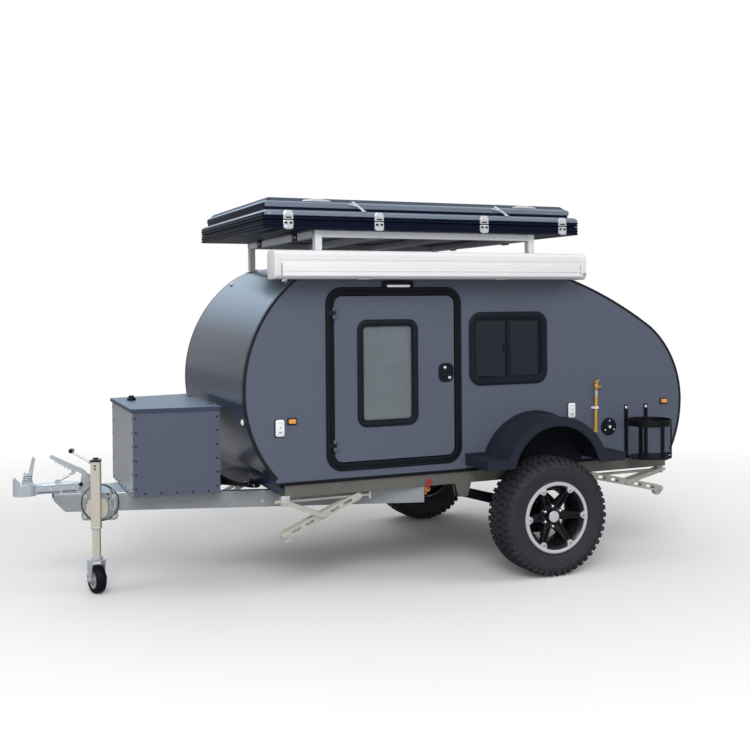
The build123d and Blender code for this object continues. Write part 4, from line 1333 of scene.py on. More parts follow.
@dataclass
class EntryDoor(SubAssembly):
    """Latch, seals and inner lining of one door.

    Attributes:
        side: Left or right.
        hole: Limits of the door hole and its corner radius.
        window: Limits of the door window and its corner radius.
        latch: Limits of the latch plate.
        face: Outer face of the door leaf.
    """

    side: str
    hole: tuple[float, ...] = (0.487, 1.316, 0.677, 1.698, 0.09)
    window: tuple[float, ...] = (0.762, 1.137, 0.91, 1.52, 0.06)
    latch: tuple[float, ...] = (0.536, 0.632, 1.149, 1.26, 0.034)
    face: float = 0.766

    def grown(self, limits: tuple[float, ...], by: float) -> Outline:
        """Outline of rounded limits made smaller by a margin."""
        u0, u1, v0, v1, radius = limits
        return rounded(u0 + by, u1 - by, v0 + by, v1 - by, max(0.002, radius - by), 10)

    def build(self) -> None:
        """Make the seals on the trailer and the latch and lining on the leaf."""
        side, body = SIDES[self.side], f"{self.side}_door_leaf"
        seal = Shape()
        for outer, inner, y0, y1, bevel in ((0.034, 0.0425, 0.737, 0.757, 0.001),
                (-0.006, 0.004, 0.7595, 0.7665, 0.002), (0.01, 0.03, 0.769, 0.7735, 0.003)):
            seal.band(self.grown(self.hole, outer), self.grown(self.hole, inner), Axis.Y, y0, y1, bevel)
        seal.piece(f"{self.side}_door_seals", TRAILER, RUBBER, side=side)

        sash = Shape()
        sash.band(self.grown(self.window, 0.006), self.grown(self.window, 0.03), Axis.Y, self.face + 0.003,
            self.face + 0.0105, 0.003)
        sash.band(self.grown(self.window, 0.028), self.grown(self.window, 0.04), Axis.Y, self.face - 0.012,
            self.face + 0.001, 0.003)
        sash.piece(f"{self.side}_door_window_bead", body, BLACK, side=side)

        lining = Shape()
        lining.band(self.grown(self.hole, 0.07), self.grown(self.window, 0.002), Axis.Y, 0.7335, 0.7362,
            0.001)
        lining.slot = 1
        lining.block((0.56, 0.718, 1.185), (0.612, 0.734, 1.225), 0.004)
        lining.block((0.6, 0.706, 1.195), (0.69, 0.716, 1.214), 0.004)
        lining.piece(f"{self.side}_door_lining", body, LINING, BLACK, side=side)
        self.handle(side, body)

    def handle(self, side: int, body: str) -> None:
        """Recessed paddle latch with its key barrel and one rivet.

        Args:
            side: 1 for the left and -1 for the right.
            body: Door leaf that carries it.
        """
        x0, x1, z0, z1, _ = self.latch
        middle, y = (x0 + x1) / 2, self.face
        shape = Shape()
        outer = self.grown(self.latch, 0.0)
        shape.band(outer, self.grown(self.latch, 0.013), Axis.Y, y - 0.001, y + 0.0055, 0.002)
        shape.prism(self.grown(self.latch, 0.012), Axis.Y, y - 0.001, y + 0.0012)
        shape.prism(square(x0 + 0.017, x1 - 0.017, z0 + 0.036, z1 - 0.02), Axis.Y, y, y + 0.0075, 0.004, 3)
        shape.block((middle - 0.026, y + 0.005, z0 + 0.034), (middle + 0.026, y + 0.013, z0 + 0.05), 0.003)
        shape.slot = 1
        barrel_x, barrel_z = x0 + 0.027, z0 + 0.026
        shape.pin((barrel_x, y, barrel_z), (barrel_x, y + 0.0085, barrel_z), 0.0085, 24, 0.001)
        shape.rivet((x1 - 0.039, y + 0.0072, z1 - 0.026), LEFT, 0.008, 0.003)
        shape.slot = 0
        shape.block((barrel_x - 0.0008, y + 0.008, barrel_z - 0.006),
            (barrel_x + 0.0008, y + 0.0092, barrel_z + 0.006))
        shape.piece(f"{self.side}_door_latch", body, BLACK, SILVER, side=side)


@dataclass
class SideWindow(SubAssembly):
    """Sliding sashes, channel and catch of one side window.

    Attributes:
        side: Left or right.
        limits: Limits of the frame and its corner radius.
    """

    side: str
    limits: tuple[float, ...] = (-0.102, 0.43, 1.118, 1.555, 0.075)

    def build(self) -> None:
        """Make the bead, the two sashes and the catch."""
        u0, u1, v0, v1, radius = self.limits
        side = SIDES[self.side]
        shape = Shape()

        def outline(by: float) -> Outline:
            """Outline drawn in by a distance."""
            return rounded(u0 + by, u1 - by, v0 + by, v1 - by, radius - by, 10)

        shape.band(outline(0.005), outline(0.033), Axis.Y, WALL + 0.006, WALL + 0.0115, 0.004)
        shape.band(outline(0.03), outline(0.044), Axis.Y, WALL - 0.012, WALL + 0.004, 0.003)
        middle = (u0 + u1) / 2
        low, high = v0 + 0.042, v1 - 0.042
        for a, b, y in ((u0 + 0.042, middle + 0.014, -0.0095), (middle - 0.014, u1 - 0.042, -0.015)):
            outer = rounded(a, b, low, high, 0.012, 4)
            inner = rounded(a + 0.012, b - 0.012, low + 0.012, high - 0.012, 0.006, 4)
            shape.band(outer, inner, Axis.Y, WALL + y - 0.003, WALL + y + 0.006, 0.001)
        shape.block((middle + 0.018, WALL - 0.007, 1.318), (middle + 0.032, WALL + 0.004, 1.358), 0.003)
        shape.pin((middle - 0.012, WALL + 0.002, 1.2), (middle - 0.012, WALL + 0.007, 1.2), 0.006, 16, 0.001)
        shape.piece(f"{self.side}_window_sashes", TRAILER, BLACK, side=side)


@dataclass
class Lamps(SubAssembly):
    """Porch lamps, white front lamps, amber and tail lamps and the socket covers.

    Attributes:
        front: Middle and facing of the white front lamps on the left.
    """

    front: tuple[tuple[Point, Point], ...] = (((1.502, 0.6, 1.7395), (0.34, 0.0, 0.94)),
        ((1.7735, 0.7, 0.9685), (0.97, 0.0, -0.1)))

    def porch(self) -> None:
        """Black lamp bodies with a light strip, over both doors, and the four white lamps."""
        y = WALL
        shape = Shape()
        shape.prism(rounded(0.789, 0.984, 1.702, 1.7385, 0.016), Axis.Y, y - 0.001, y + 0.022, 0.006, 3)
        shape.slot = 1
        shape.prism(rounded(0.815, 0.958, 1.7035, 1.7165, 0.006, 4), Axis.Y, y + 0.004, y + 0.0235, 0.002)
        shape.slot = 0
        for x in (0.803, 0.97):
            shape.rivet((x, y + 0.0215, 1.72), LEFT, 0.004, 0.002)
        for place, facing in self.front:
            foot, way = Vector(place), Vector(facing).normalized()
            shape.pin(foot - way * 0.004, foot + way * 0.005, 0.0215, 28, 0.0015)
            shape.slot = 1
            shape.rivet(foot + way * 0.004, way, 0.0165, 0.0115)
            shape.slot = 0
        item = shape.mirrored().piece("white_lamps", TRAILER, BLACK, CLEAR)
        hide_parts("outside_lamps")

    def markers(self) -> None:
        """Bases and reflectors of the amber markers."""
        shape = Shape()
        for x, z in ((1.52, 0.967), (-0.968, 0.968)):
            shape.prism(rounded(x - 0.028, x + 0.026, z - 0.02, z + 0.018, 0.006, 4), Axis.Y, WALL - 0.001,
                WALL + 0.006, 0.001)
            shape.slot = 1
            for k in range(4):
                shape.block((x - 0.017, WALL + 0.0135, z - 0.0098 + 0.0052 * k),
                    (x + 0.017, WALL + 0.015, z - 0.0064 + 0.0052 * k), 0.0007)
            shape.slot = 0
        shape.mirrored().piece("marker_bases", TRAILER, BLACK, AMBER)

    def covers(self) -> None:
        """Hinged flaps on the socket covers of the left wall, over black plates whose rims paint the shadow
        round each cover.
        """
        shape = Shape()
        for x0, x1, z0, z1 in ((1.566, 1.614, 0.888, 0.98), (-0.297, -0.249, 0.896, 0.986)):
            y = WALL + 0.012
            # Black plate a little larger than the cover; its rim paints the shadow round the cover.
            shape.slot = 2
            shape.prism(rounded(x0 - 0.004, x1 + 0.006, z0 - 0.006, z1 + 0.004, 0.012), Axis.Y, WALL - 0.001,
                WALL + 0.003, 0.001)
            shape.slot = 0
            shape.prism(rounded(x0 + 0.005, x1 - 0.005, z0 + 0.006, z1 - 0.02, 0.006), Axis.Y, y - 0.002,
                y + 0.0035, 0.0015)
            shape.pin((x0 + 0.008, y + 0.001, z1 - 0.014), (x1 - 0.008, y + 0.001, z1 - 0.014), 0.004, 12,
                0.001)
            shape.slot = 1
            shape.prism(rounded(x0 + 0.013, x1 - 0.013, z0 + 0.018, z0 + 0.026, 0.003, 4), Axis.Y, y + 0.002,
                y + 0.0042, 0.0006)
            shape.rivet(((x0 + x1) / 2, y + 0.0032, (z0 + z1) / 2 + 0.004), LEFT, 0.0045, 0.002)
            shape.slot = 0
        shape.piece("socket_flaps", TRAILER, WHITE_PLASTIC, GREY_PLASTIC, BLACK)

    def tails(self) -> None:
        """Red, amber and clear lens ribs of both tail lamps."""
        shape = Shape()
        x = -1.0752
        for k in range(9):
            y = 0.47 + 0.0225 * k
            shape.slot = 0 if k < 5 else (1 if k < 7 else 2)
            shape.block((x - 0.0022, y, 0.677), (x + 0.004, y + 0.017, 0.723), 0.0016)
        shape.mirrored().piece("tail_lens_ribs", TRAILER, RED, AMBER, CLEAR)

    def build(self) -> None:
        """Make all lamps and covers."""
        self.porch()
        self.markers()
        self.covers()
        self.tails()


@dataclass
class GasLine(SubAssembly):
    """Gas pipe with its tap and clip, filler lid, and fixings of the bottle holder.

    Attributes:
        out: Distance of the pipe's middle from the wall.
        foot: x and z of its lower end.
        top: x and z of its upper end.
    """

    out: float = 0.013
    foot: tuple[float, float] = (-0.444, 0.799)
    top: tuple[float, float] = (-0.45, 1.046)

    def pipe(self) -> None:
        """Pipe, elbow, valve, tap and clip."""
        y = WALL + self.out
        (x0, z0), (x1, z1) = self.foot, self.top
        shape = Shape()
        bend = [(x0, WALL - 0.001, z0), (x0, WALL + 0.005, z0 + 0.0005)]
        bend += [(x0, y - 0.008 + 0.008 * sin(a), z0 + 0.008 - 0.008 * cos(a))
            for a in (0.4, 0.8, 1.2, 1.5708)]
        shape.tube(bend + [(x1, y, z1)], 0.0088, 16)
        shape.lathe([(0.0, z0 - 0.002), (0.0125, z0 - 0.002), (0.0125, z0 + 0.012), (0.0, z0 + 0.012)],
            (x0, y - 0.001, 0.0), 20, Axis.Z)
        shape.slot = 3
        shape.pin((x1, y, z1 - 0.022), (x1, y, z1 + 0.01), 0.01, 16, 0.001)
        shape.slot = 1
        shape.lathe([(0.0, z1 + 0.01), (0.0085, z1 + 0.012), (0.0125, z1 + 0.024), (0.013, z1 + 0.034),
            (0.0125, z1 + 0.044), (0.0085, z1 + 0.054), (0.0, z1 + 0.056)], (x1, y, 0.0), 24, Axis.Z)
        shape.pin((x1, WALL - 0.001, z1 + 0.062), (x1, y + 0.013, z1 + 0.062), 0.0115, 20, 0.0015)
        shape.pin((x1, y, z1 + 0.05), (x1, y, z1 + 0.064), 0.0075, 6, 0.0005)
        shape.pin((x1 + 0.004, y, z1 + 0.062), (x1 - 0.022, y, z1 + 0.073), 0.0065, 16, 0.001)
        shape.prism([(x1 - 0.03, z1 + 0.03), (x1 + 0.002, z1 + 0.028), (x1 + 0.004, z1 + 0.04),
            (x1 - 0.028, z1 + 0.041)], Axis.Y, y + 0.011, y + 0.0135, 0.0008)
        shape.slot = 2
        shape.prism(rounded(x0 - 0.03, x0 + 0.024, 0.941, 0.957, 0.007), Axis.Y, WALL - 0.001, WALL + 0.004,
            0.001)
        clip_z, clip_r = 0.949, 0.0118
        xm = x0 + (x1 - x0) * (clip_z - z0) / (z1 - z0)
        hoop = [(xm + clip_r * cos(a), y + clip_r * sin(a)) for a in (radians(t)
            for t in range(-20, 201, 20))]
        for p in hoop[:-1]:
            shape.pin((*p, clip_z - 0.0065), (*p, clip_z + 0.0065), 0.0034, 8)
        shape.slot = 3
        for x in (x0 - 0.0235, x0 + 0.0175):
            shape.rivet((x, WALL + 0.0038, clip_z), LEFT, 0.0055, 0.0035)
        item = shape.piece("gas_line", TRAILER, YELLOW, BRASS, WHITE_PLASTIC, PLATED)
        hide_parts("gas_pipe")

    def filler(self) -> None:
        """Rim, lid, lock and rivets of the water filler."""
        x, z, y = -0.548, 0.824, WALL + 0.012
        shape = Shape()
        grip_r, rivet_r = 0.0268, 0.038
        shape.lathe([(0.044, WALL - 0.001), (0.0565, WALL - 0.001), (0.0565, WALL + 0.0025),
            (0.054, WALL + 0.0045), (0.044, WALL + 0.005)], (x, 0.0, z), 56, closed=True)
        shape.lathe([(0.0435, y - 0.004), (0.0435, y + 0.0008), (0.0385, y + 0.0022), (0.033, y + 0.001),
            (0.0315, y - 0.001)], (x, 0.0, z), 48)
        shape.lathe([(0.0, y + 0.005), (0.024, y + 0.005), (0.027, y + 0.0035), (0.028, y - 0.001)],
            (x, 0.0, z), 40)
        for a in around(10):
            u, v = x + grip_r * cos(a), z + grip_r * sin(a)
            shape.pin((u, y - 0.001, v), (u, y + 0.0042, v), 0.0022, 8, 0.0005)
        shape.slot = 1
        shape.pin((x, y + 0.004, z), (x, y + 0.0072, z), 0.0095, 24, 0.001)
        for a in (radians(90), radians(210), radians(330)):
            shape.rivet((x + rivet_r * cos(a), y + 0.0015, z + rivet_r * sin(a)), LEFT, 0.0048, 0.0022)
        shape.piece("filler_lid", TRAILER, BLACK, SILVER)

    def holder(self) -> None:
        """Domed bolts, catch and rolled rims of the bottle holder."""
        hx, reach = -0.755, 0.135
        cy = WALL + reach + 0.012
        shape = Shape()
        for z in (0.873, 0.8385):
            ring = [(hx + (reach - 0.0005) * cos(a), cy + (reach - 0.0005) * sin(a), z) for a in around(72)]
            shape.tube(ring, 0.0026, 8, closed=True)
        shape.slot = 1
        for dx in (-0.075, 0.075):
            shape.rivet((hx + dx, WALL + 0.0048, 0.938), LEFT, 0.0095, 0.006)
        shape.slot = 0
        turn = radians(62)
        px, py = hx + reach * cos(turn), cy + reach * sin(turn)
        out = vec(cos(turn), sin(turn), 0)
        way = vec(-sin(turn), cos(turn), 0)
        base = vec(px, py, 0.855)
        for shift, wide, high, deep in ((0.0, 0.03, 0.013, 0.006), (0.022, 0.012, 0.01, 0.008)):
            middle = base + way * shift
            corners = [middle + way * a + vec(0, 0, b) for a, b in square(-wide, wide, -high, high)]
            shape.loft([[c - out * 0.002 for c in corners], [c + out * deep for c in corners]])
        shape.pin(base - way * 0.03 + out * 0.006, base + way * 0.022 + out * 0.01, 0.0025, 10, 0.0005)
        shape.piece("bottle_holder_fixings", TRAILER, BLACK_METAL, POLISHED)

    def build(self) -> None:
        """Make the pipe, the filler's lid and the holder's fixings."""
        self.pipe()
        self.filler()
        self.holder()


@dataclass
class Wheel(SubAssembly):
    """Tyre with its tread and rim with its ring, spokes and nuts.

    Attributes:
        side: Left or right.
        pitches: Blocks around each row of the tread.
        tyre_r: Radius over the blocks.
        void_r: Radius at the bottom of the grooves.
        bead_r: Radius where the tyre meets the rim.
        ring_r: Outer radius of the bright ring.
        bolt_r: Radius of the circle of the ring's bolts.
        nut_r: Radius of the circle of the wheel nuts.
    """

    side: str
    pitches: int = 50
    tyre_r: float = 0.3475
    void_r: float = 0.3355
    bead_r: float = 0.194
    ring_r: float = 0.2105
    bolt_r: float = 0.178
    nut_r: float = 0.059

    def on_tyre(self, turn: float, across: float, radius: float) -> Vector:
        """Point on the left tyre from its turn, distance across and radius."""
        return vec(radius * cos(turn), WHEEL_Y + across, WHEEL_Z + radius * sin(turn))

    def on_flank(self, turn: float, radius: float, across: float) -> Vector:
        """Point on the left tyre's side wall from its turn, radius and distance across."""
        return self.on_tyre(turn, across, radius)

    def carcass(self, shape: Shape) -> None:
        """Side walls and the tread's ground.

        Args:
            shape: Shape that gets them.
        """
        flank = [(self.bead_r, 0.088), (self.bead_r + 0.004, 0.096), (0.206, 0.1015), (0.2115, 0.1075),
            (0.219, 0.1075), (0.223, 0.105), (0.238, 0.111), (0.241, 0.112), (0.244, 0.111), (0.256, 0.115),
            (0.276, 0.1165), (0.29, 0.116), (0.293, 0.117), (0.296, 0.1155), (0.309, 0.113), (0.322, 0.1075),
            (0.331, 0.0985), (self.void_r, 0.086), (self.void_r, 0.03)]
        inside = [(self.bead_r, -0.078), (0.288, -0.088), (0.323, -0.06)]
        shape.lathe(doubled(flank) + doubled(inside), HUB, 120, closed=True)

    def tread(self, shape: Shape) -> None:
        """Rows of chunky blocks over the crown, the shoulders and the upper side walls.

        Args:
            shape: Shape that gets them.
        """
        pitch = 2 * pi / self.pitches
        low = self.void_r - 0.003
        for k in range(self.pitches):
            turn = k * pitch
            for way in (1, -1):
                start = turn + (0.0 if way > 0 else pitch / 2)
                centre = [(0.08, 0.002), (0.62, 0.002), (0.86, 0.014), (0.72, 0.03), (0.2, 0.03),
                    (-0.02, 0.014)]
                middle = [(0.3, 0.036), (0.84, 0.036), (1.02, 0.05), (0.9, 0.068), (0.34, 0.068),
                    (0.16, 0.052)]
                reach = 0.112 if k % 2 else 0.104
                edge = [(0.02, 0.074), (0.56, 0.074), (0.62, reach - 0.008), (0.52, reach), (0.1, reach),
                    (0.0, reach - 0.01)]
                for outline, high in ((centre, self.tyre_r), (middle, self.tyre_r - 0.0003)):
                    corners = [(start + a * pitch, way * w) for a, w in outline]
                    shape.mapped(corners, low, high, self.on_tyre, 0.12)
                corners = [(start + a * pitch, way * w) for a, w in edge]
                rings = []
                for depth in (0.0, 1.0):
                    rings.append([self.on_tyre(u, w, (self.void_r - 0.012)
                        + (self.crown(abs(w)) - self.void_r + 0.012) * depth) for u, w in corners])
                shape.loft(rings)
                foot = 0.304 if k % 2 else 0.316
                lug = [(start + 0.06 * pitch, foot), (start + 0.5 * pitch, foot),
                    (start + 0.56 * pitch, 0.335), (start + 0.02 * pitch, 0.335)]
                shape.mapped(lug, way * 0.096, way * (0.1172 if k % 2 else 0.115), self.on_flank, 0.1)

    def crown(self, across: float) -> float:
        """Radius over the blocks at a distance across the tyre."""
        over = max(0.0, across - 0.074)
        return self.tyre_r - 0.0008 - over * over * 5.5

    def make_tyre(self) -> None:
        """The tyre in one piece, in place of its CAD solid."""
        shape = Shape()
        self.carcass(shape)
        self.tread(shape)
        item = shape.piece(f"{self.side}_treaded_tyre", f"{self.side}_wheel", TYRE, smooth=30.0,
            side=SIDES[self.side])
        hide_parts(f"{self.side}_tyre")

    def barrel(self, shape: Shape) -> None:
        """Black barrel with its drop centre and both beads.

        Args:
            shape: Shape that gets them.
        """
        profile = [(0.206, -0.104), (0.2065, -0.0985), (self.bead_r, -0.094), (self.bead_r, -0.076),
            (0.163, -0.045), (0.16, -0.035), (0.16, 0.03), (0.165, 0.042), (self.bead_r, 0.076),
            (self.bead_r, 0.094), (0.203, 0.0995), (0.2085, 0.1015), (0.2085, 0.106), (0.186, 0.106),
            (0.176, 0.0985), (0.168, 0.082), (0.16, 0.058), (0.151, 0.044), (0.149, 0.03), (0.149, -0.04),
            (0.156, -0.052), (0.178, -0.082), (0.18, -0.104)]
        shape.lathe(profile, HUB, 96, closed=True)

    def ribs(self, shape: Shape) -> None:
        """Six pairs of ribs with a sunk web between each pair, and the hub.

        Args:
            shape: Shape that gets them.
        """
        stations = ((0.044, 0.046, 0.012, 0.0235), (0.066, 0.058, 0.018, 0.0215),
            (0.092, 0.07, 0.03, 0.0185), (0.12, 0.082, 0.044, 0.015), (0.146, 0.0925, 0.06, 0.0125),
            (0.17, 0.1005, 0.074, 0.011))
        for k in range(6):
            along, wide = spoke(radians(60 * k))
            for way in (1, -1):
                rings = []
                for reach, front, back, off in stations:
                    middle = HUB + along * reach + wide * off * way
                    half = 0.0058
                    rings.append([middle + wide * a + vec(0, b, 0) for a, b in ((-half, back), (half, back),
                        (half, front - 0.004), (half * 0.55, front), (-half * 0.55, front),
                        (-half, front - 0.004))])
                shape.loft(rings)
            web = []
            for reach, front, back, off in stations:
                middle = HUB + along * reach
                web.append([middle + wide * a + vec(0, b, 0) for a, b in square(-off, off, back + 0.002,
                    front - 0.016)])
            shape.loft(web)
        shape.lathe([(0.0312, 0.01), (0.076, 0.01), (0.078, 0.014), (0.078, 0.04), (0.073, 0.047),
            (0.042, 0.049), (0.0405, 0.052), (0.0405, 0.07), (0.038, 0.074), (0.031, 0.0745),
            (0.0312, 0.06)], HUB, 60, closed=True)

    def ring(self, shape: Shape) -> None:
        """Bright ring with six bolted tabs.

        Args:
            shape: Shape that gets them.
        """
        profile = [(0.1885, 0.104), (self.ring_r - 0.001, 0.104), (self.ring_r, 0.1055),
            (self.ring_r, 0.1085), (self.ring_r - 0.003, 0.1125), (0.1935, 0.1135), (0.1895, 0.1115)]
        shape.lathe(profile, HUB, 120, closed=True)
        for k in range(6):
            along, wide = spoke(radians(60 * k))
            outline = [(0.195, 0.034), (0.187, 0.025)]
            outline += [(self.bolt_r - 0.017 * sin(a), 0.017 * cos(a))
                for a in (radians(t) for t in range(20, 161, 20))]
            outline += [(0.187, -0.025), (0.195, -0.034)]
            edge = [HUB + along * r + wide * w for r, w in outline]
            middle = sum(edge, Vector()) / len(edge)
            rings = [[p + vec(0, 0.0985, 0) for p in edge], [p + vec(0, 0.1115, 0) for p in edge],
                [middle + (p - middle) * 0.93 + vec(0, 0.1128, 0) for p in edge]]
            shape.loft(rings)

    def make_rim(self) -> None:
        """The rim in one piece, in place of its CAD solid."""
        shape = Shape()
        self.barrel(shape)
        self.ribs(shape)
        shape.slot = 1
        self.ring(shape)
        shape.lathe([(0.0335, 0.07), (0.0335, 0.0765), (0.031, 0.079), (0.025, 0.08), (0.0, 0.0806)], HUB,
            48)
        shape.slot = 2
        for k in range(6):
            nut = HUB + spoke(radians(60 * k + 30))[0] * self.nut_r
            shape.pin(nut + vec(0, 0.046, 0), nut + vec(0, 0.05, 0), 0.0115, 24, 0.001)
            shape.pin(nut + vec(0, 0.05, 0), nut + vec(0, 0.066, 0), 0.01, 6, 0.001)
            shape.rivet(nut + vec(0, 0.0655, 0), LEFT, 0.0078, 0.005)
            tab = HUB + spoke(radians(60 * k))[0] * self.bolt_r
            shape.bolt(tab + vec(0, 0.1126, 0), LEFT, 0.0135, 0.0045)
        turn = radians(37)
        start = HUB + vec(0.18 * cos(turn), 0.095, 0.18 * sin(turn))
        shape.slot = 0
        shape.pin(start, start + vec(-0.01, 0.02, -0.008), 0.0042, 12, 0.001)
        item = shape.piece(f"{self.side}_spoked_rim", f"{self.side}_wheel", RIM, POLISHED, NUT, smooth=32.0,
            side=SIDES[self.side])
        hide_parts(f"{self.side}_rim")

    def drum(self) -> None:
        """Brake drum and back plate behind the rim."""
        shape = Shape()
        centre, bolts_r = (0.0, 0.0, WHEEL_Z), 0.098
        shape.lathe([(0.0, 0.788), (0.128, 0.788), (0.13, 0.792), (0.13, 0.8), (0.122, 0.804), (0.12, 0.846),
            (0.112, 0.852), (0.0, 0.852)], centre, 60)
        for k in range(8):
            a = radians(45 * k + 10)
            shape.bolt((bolts_r * cos(a), 0.7885, WHEEL_Z + bolts_r * sin(a)), (0, -1, 0), 0.014, 0.006)
        shape.piece(f"{self.side}_brake_drum", TRAILER, BLACK_METAL, side=SIDES[self.side])

    def build(self) -> None:
        """Make the tyre, the rim and the brake drum."""
        self.make_tyre()
        self.make_rim()
        self.drum()


@dataclass
class Arch(SubAssembly):
    """Rolled lips, wall flange, bolts and braces of both wheel arches.

    Attributes:
        x: Middle of the arch.
        z: Height of its centre.
        radius: Outer radius.
        foot: Half length over the feet.
        top: Height of the feet.
        outer: Its outer edge.
        inner_foot: Lower edge of the black sheet of painted shade on the wall.
    """

    x: float = -0.008
    z: float = 0.592
    radius: float = 0.345
    foot: float = 0.469
    top: float = 0.705
    outer: float = 1.05
    inner_foot: float = 0.634

    def path(self, radius: float, rise: float) -> Outline:
        """Side view line over a foot, the crown and the other foot.

        Args:
            radius: Radius of the crown.
            rise: Height of the line above the foot.

        Returns:
            Points x and z from front to rear.
        """
        level = self.top + rise
        start = asin((level - self.z) / radius)
        points = [(self.x + self.foot, level)]
        for k in range(25):
            a = start + (pi - 2 * start) * k / 24
            points.append((self.x + radius * cos(a), self.z + radius * sin(a)))
        points.append((self.x - self.foot, level))
        return points

    def build(self) -> None:
        """Make the lips, the flange and the fixings on both sides."""
        shape = Shape()
        line = self.path(self.radius + 0.0005, 0.0005)
        low = self.path(self.radius - 0.006, -0.006)
        for y0, y1, out in ((self.outer - 0.016, self.outer - 0.0004, 0.0035),
                (WALL + 0.0005, WALL + 0.008, 0.016)):
            high = self.path(self.radius + out, out)
            inside = low if y0 > 0.9 else line
            shape.loft([[vec(a[0], y0, a[1]), vec(a[0], y1, a[1]), vec(b[0], y1, b[1]), vec(b[0], y0, b[1])]
                for a, b in zip(inside, high)])
        flange_r = self.radius + 0.009
        for k in range(9):
            a = radians(28 + 15.5 * k)
            shape.bolt((self.x + flange_r * cos(a), WALL + 0.0078, self.z + flange_r * sin(a)), LEFT, 0.01,
                0.004)
        for x in (self.x + 0.405, self.x - 0.405):
            for y in (0.8, 0.99):
                shape.bolt((x, y, self.top), (0, 0, 1), 0.014, 0.006)
            for y in (0.835, 0.905, 0.975):
                shape.block((x - 0.055, y - 0.006, self.top - 0.001),
                    (x + 0.055, y + 0.006, self.top + 0.0022), 0.001)
        shape.mirrored().piece("arch_lips", TRAILER, ARCH)
        # A near black sheet on the wall inside each arch paints the shade under the fender.
        shade_disc = Shape()
        low = self.inner_foot
        start = asin((low - self.z) / self.radius)
        outline = [(self.x + self.radius * cos(a), self.z + self.radius * sin(a))
            for a in (start + (pi - 2 * start) * k / 30 for k in range(31))]
        shade_disc.prism(outline, Axis.Y, WALL - 0.0005, WALL + 0.003)
        shade_disc.mirrored().piece("arch_shade_sheets", TRAILER, ARCH_SHADE_SHEET)


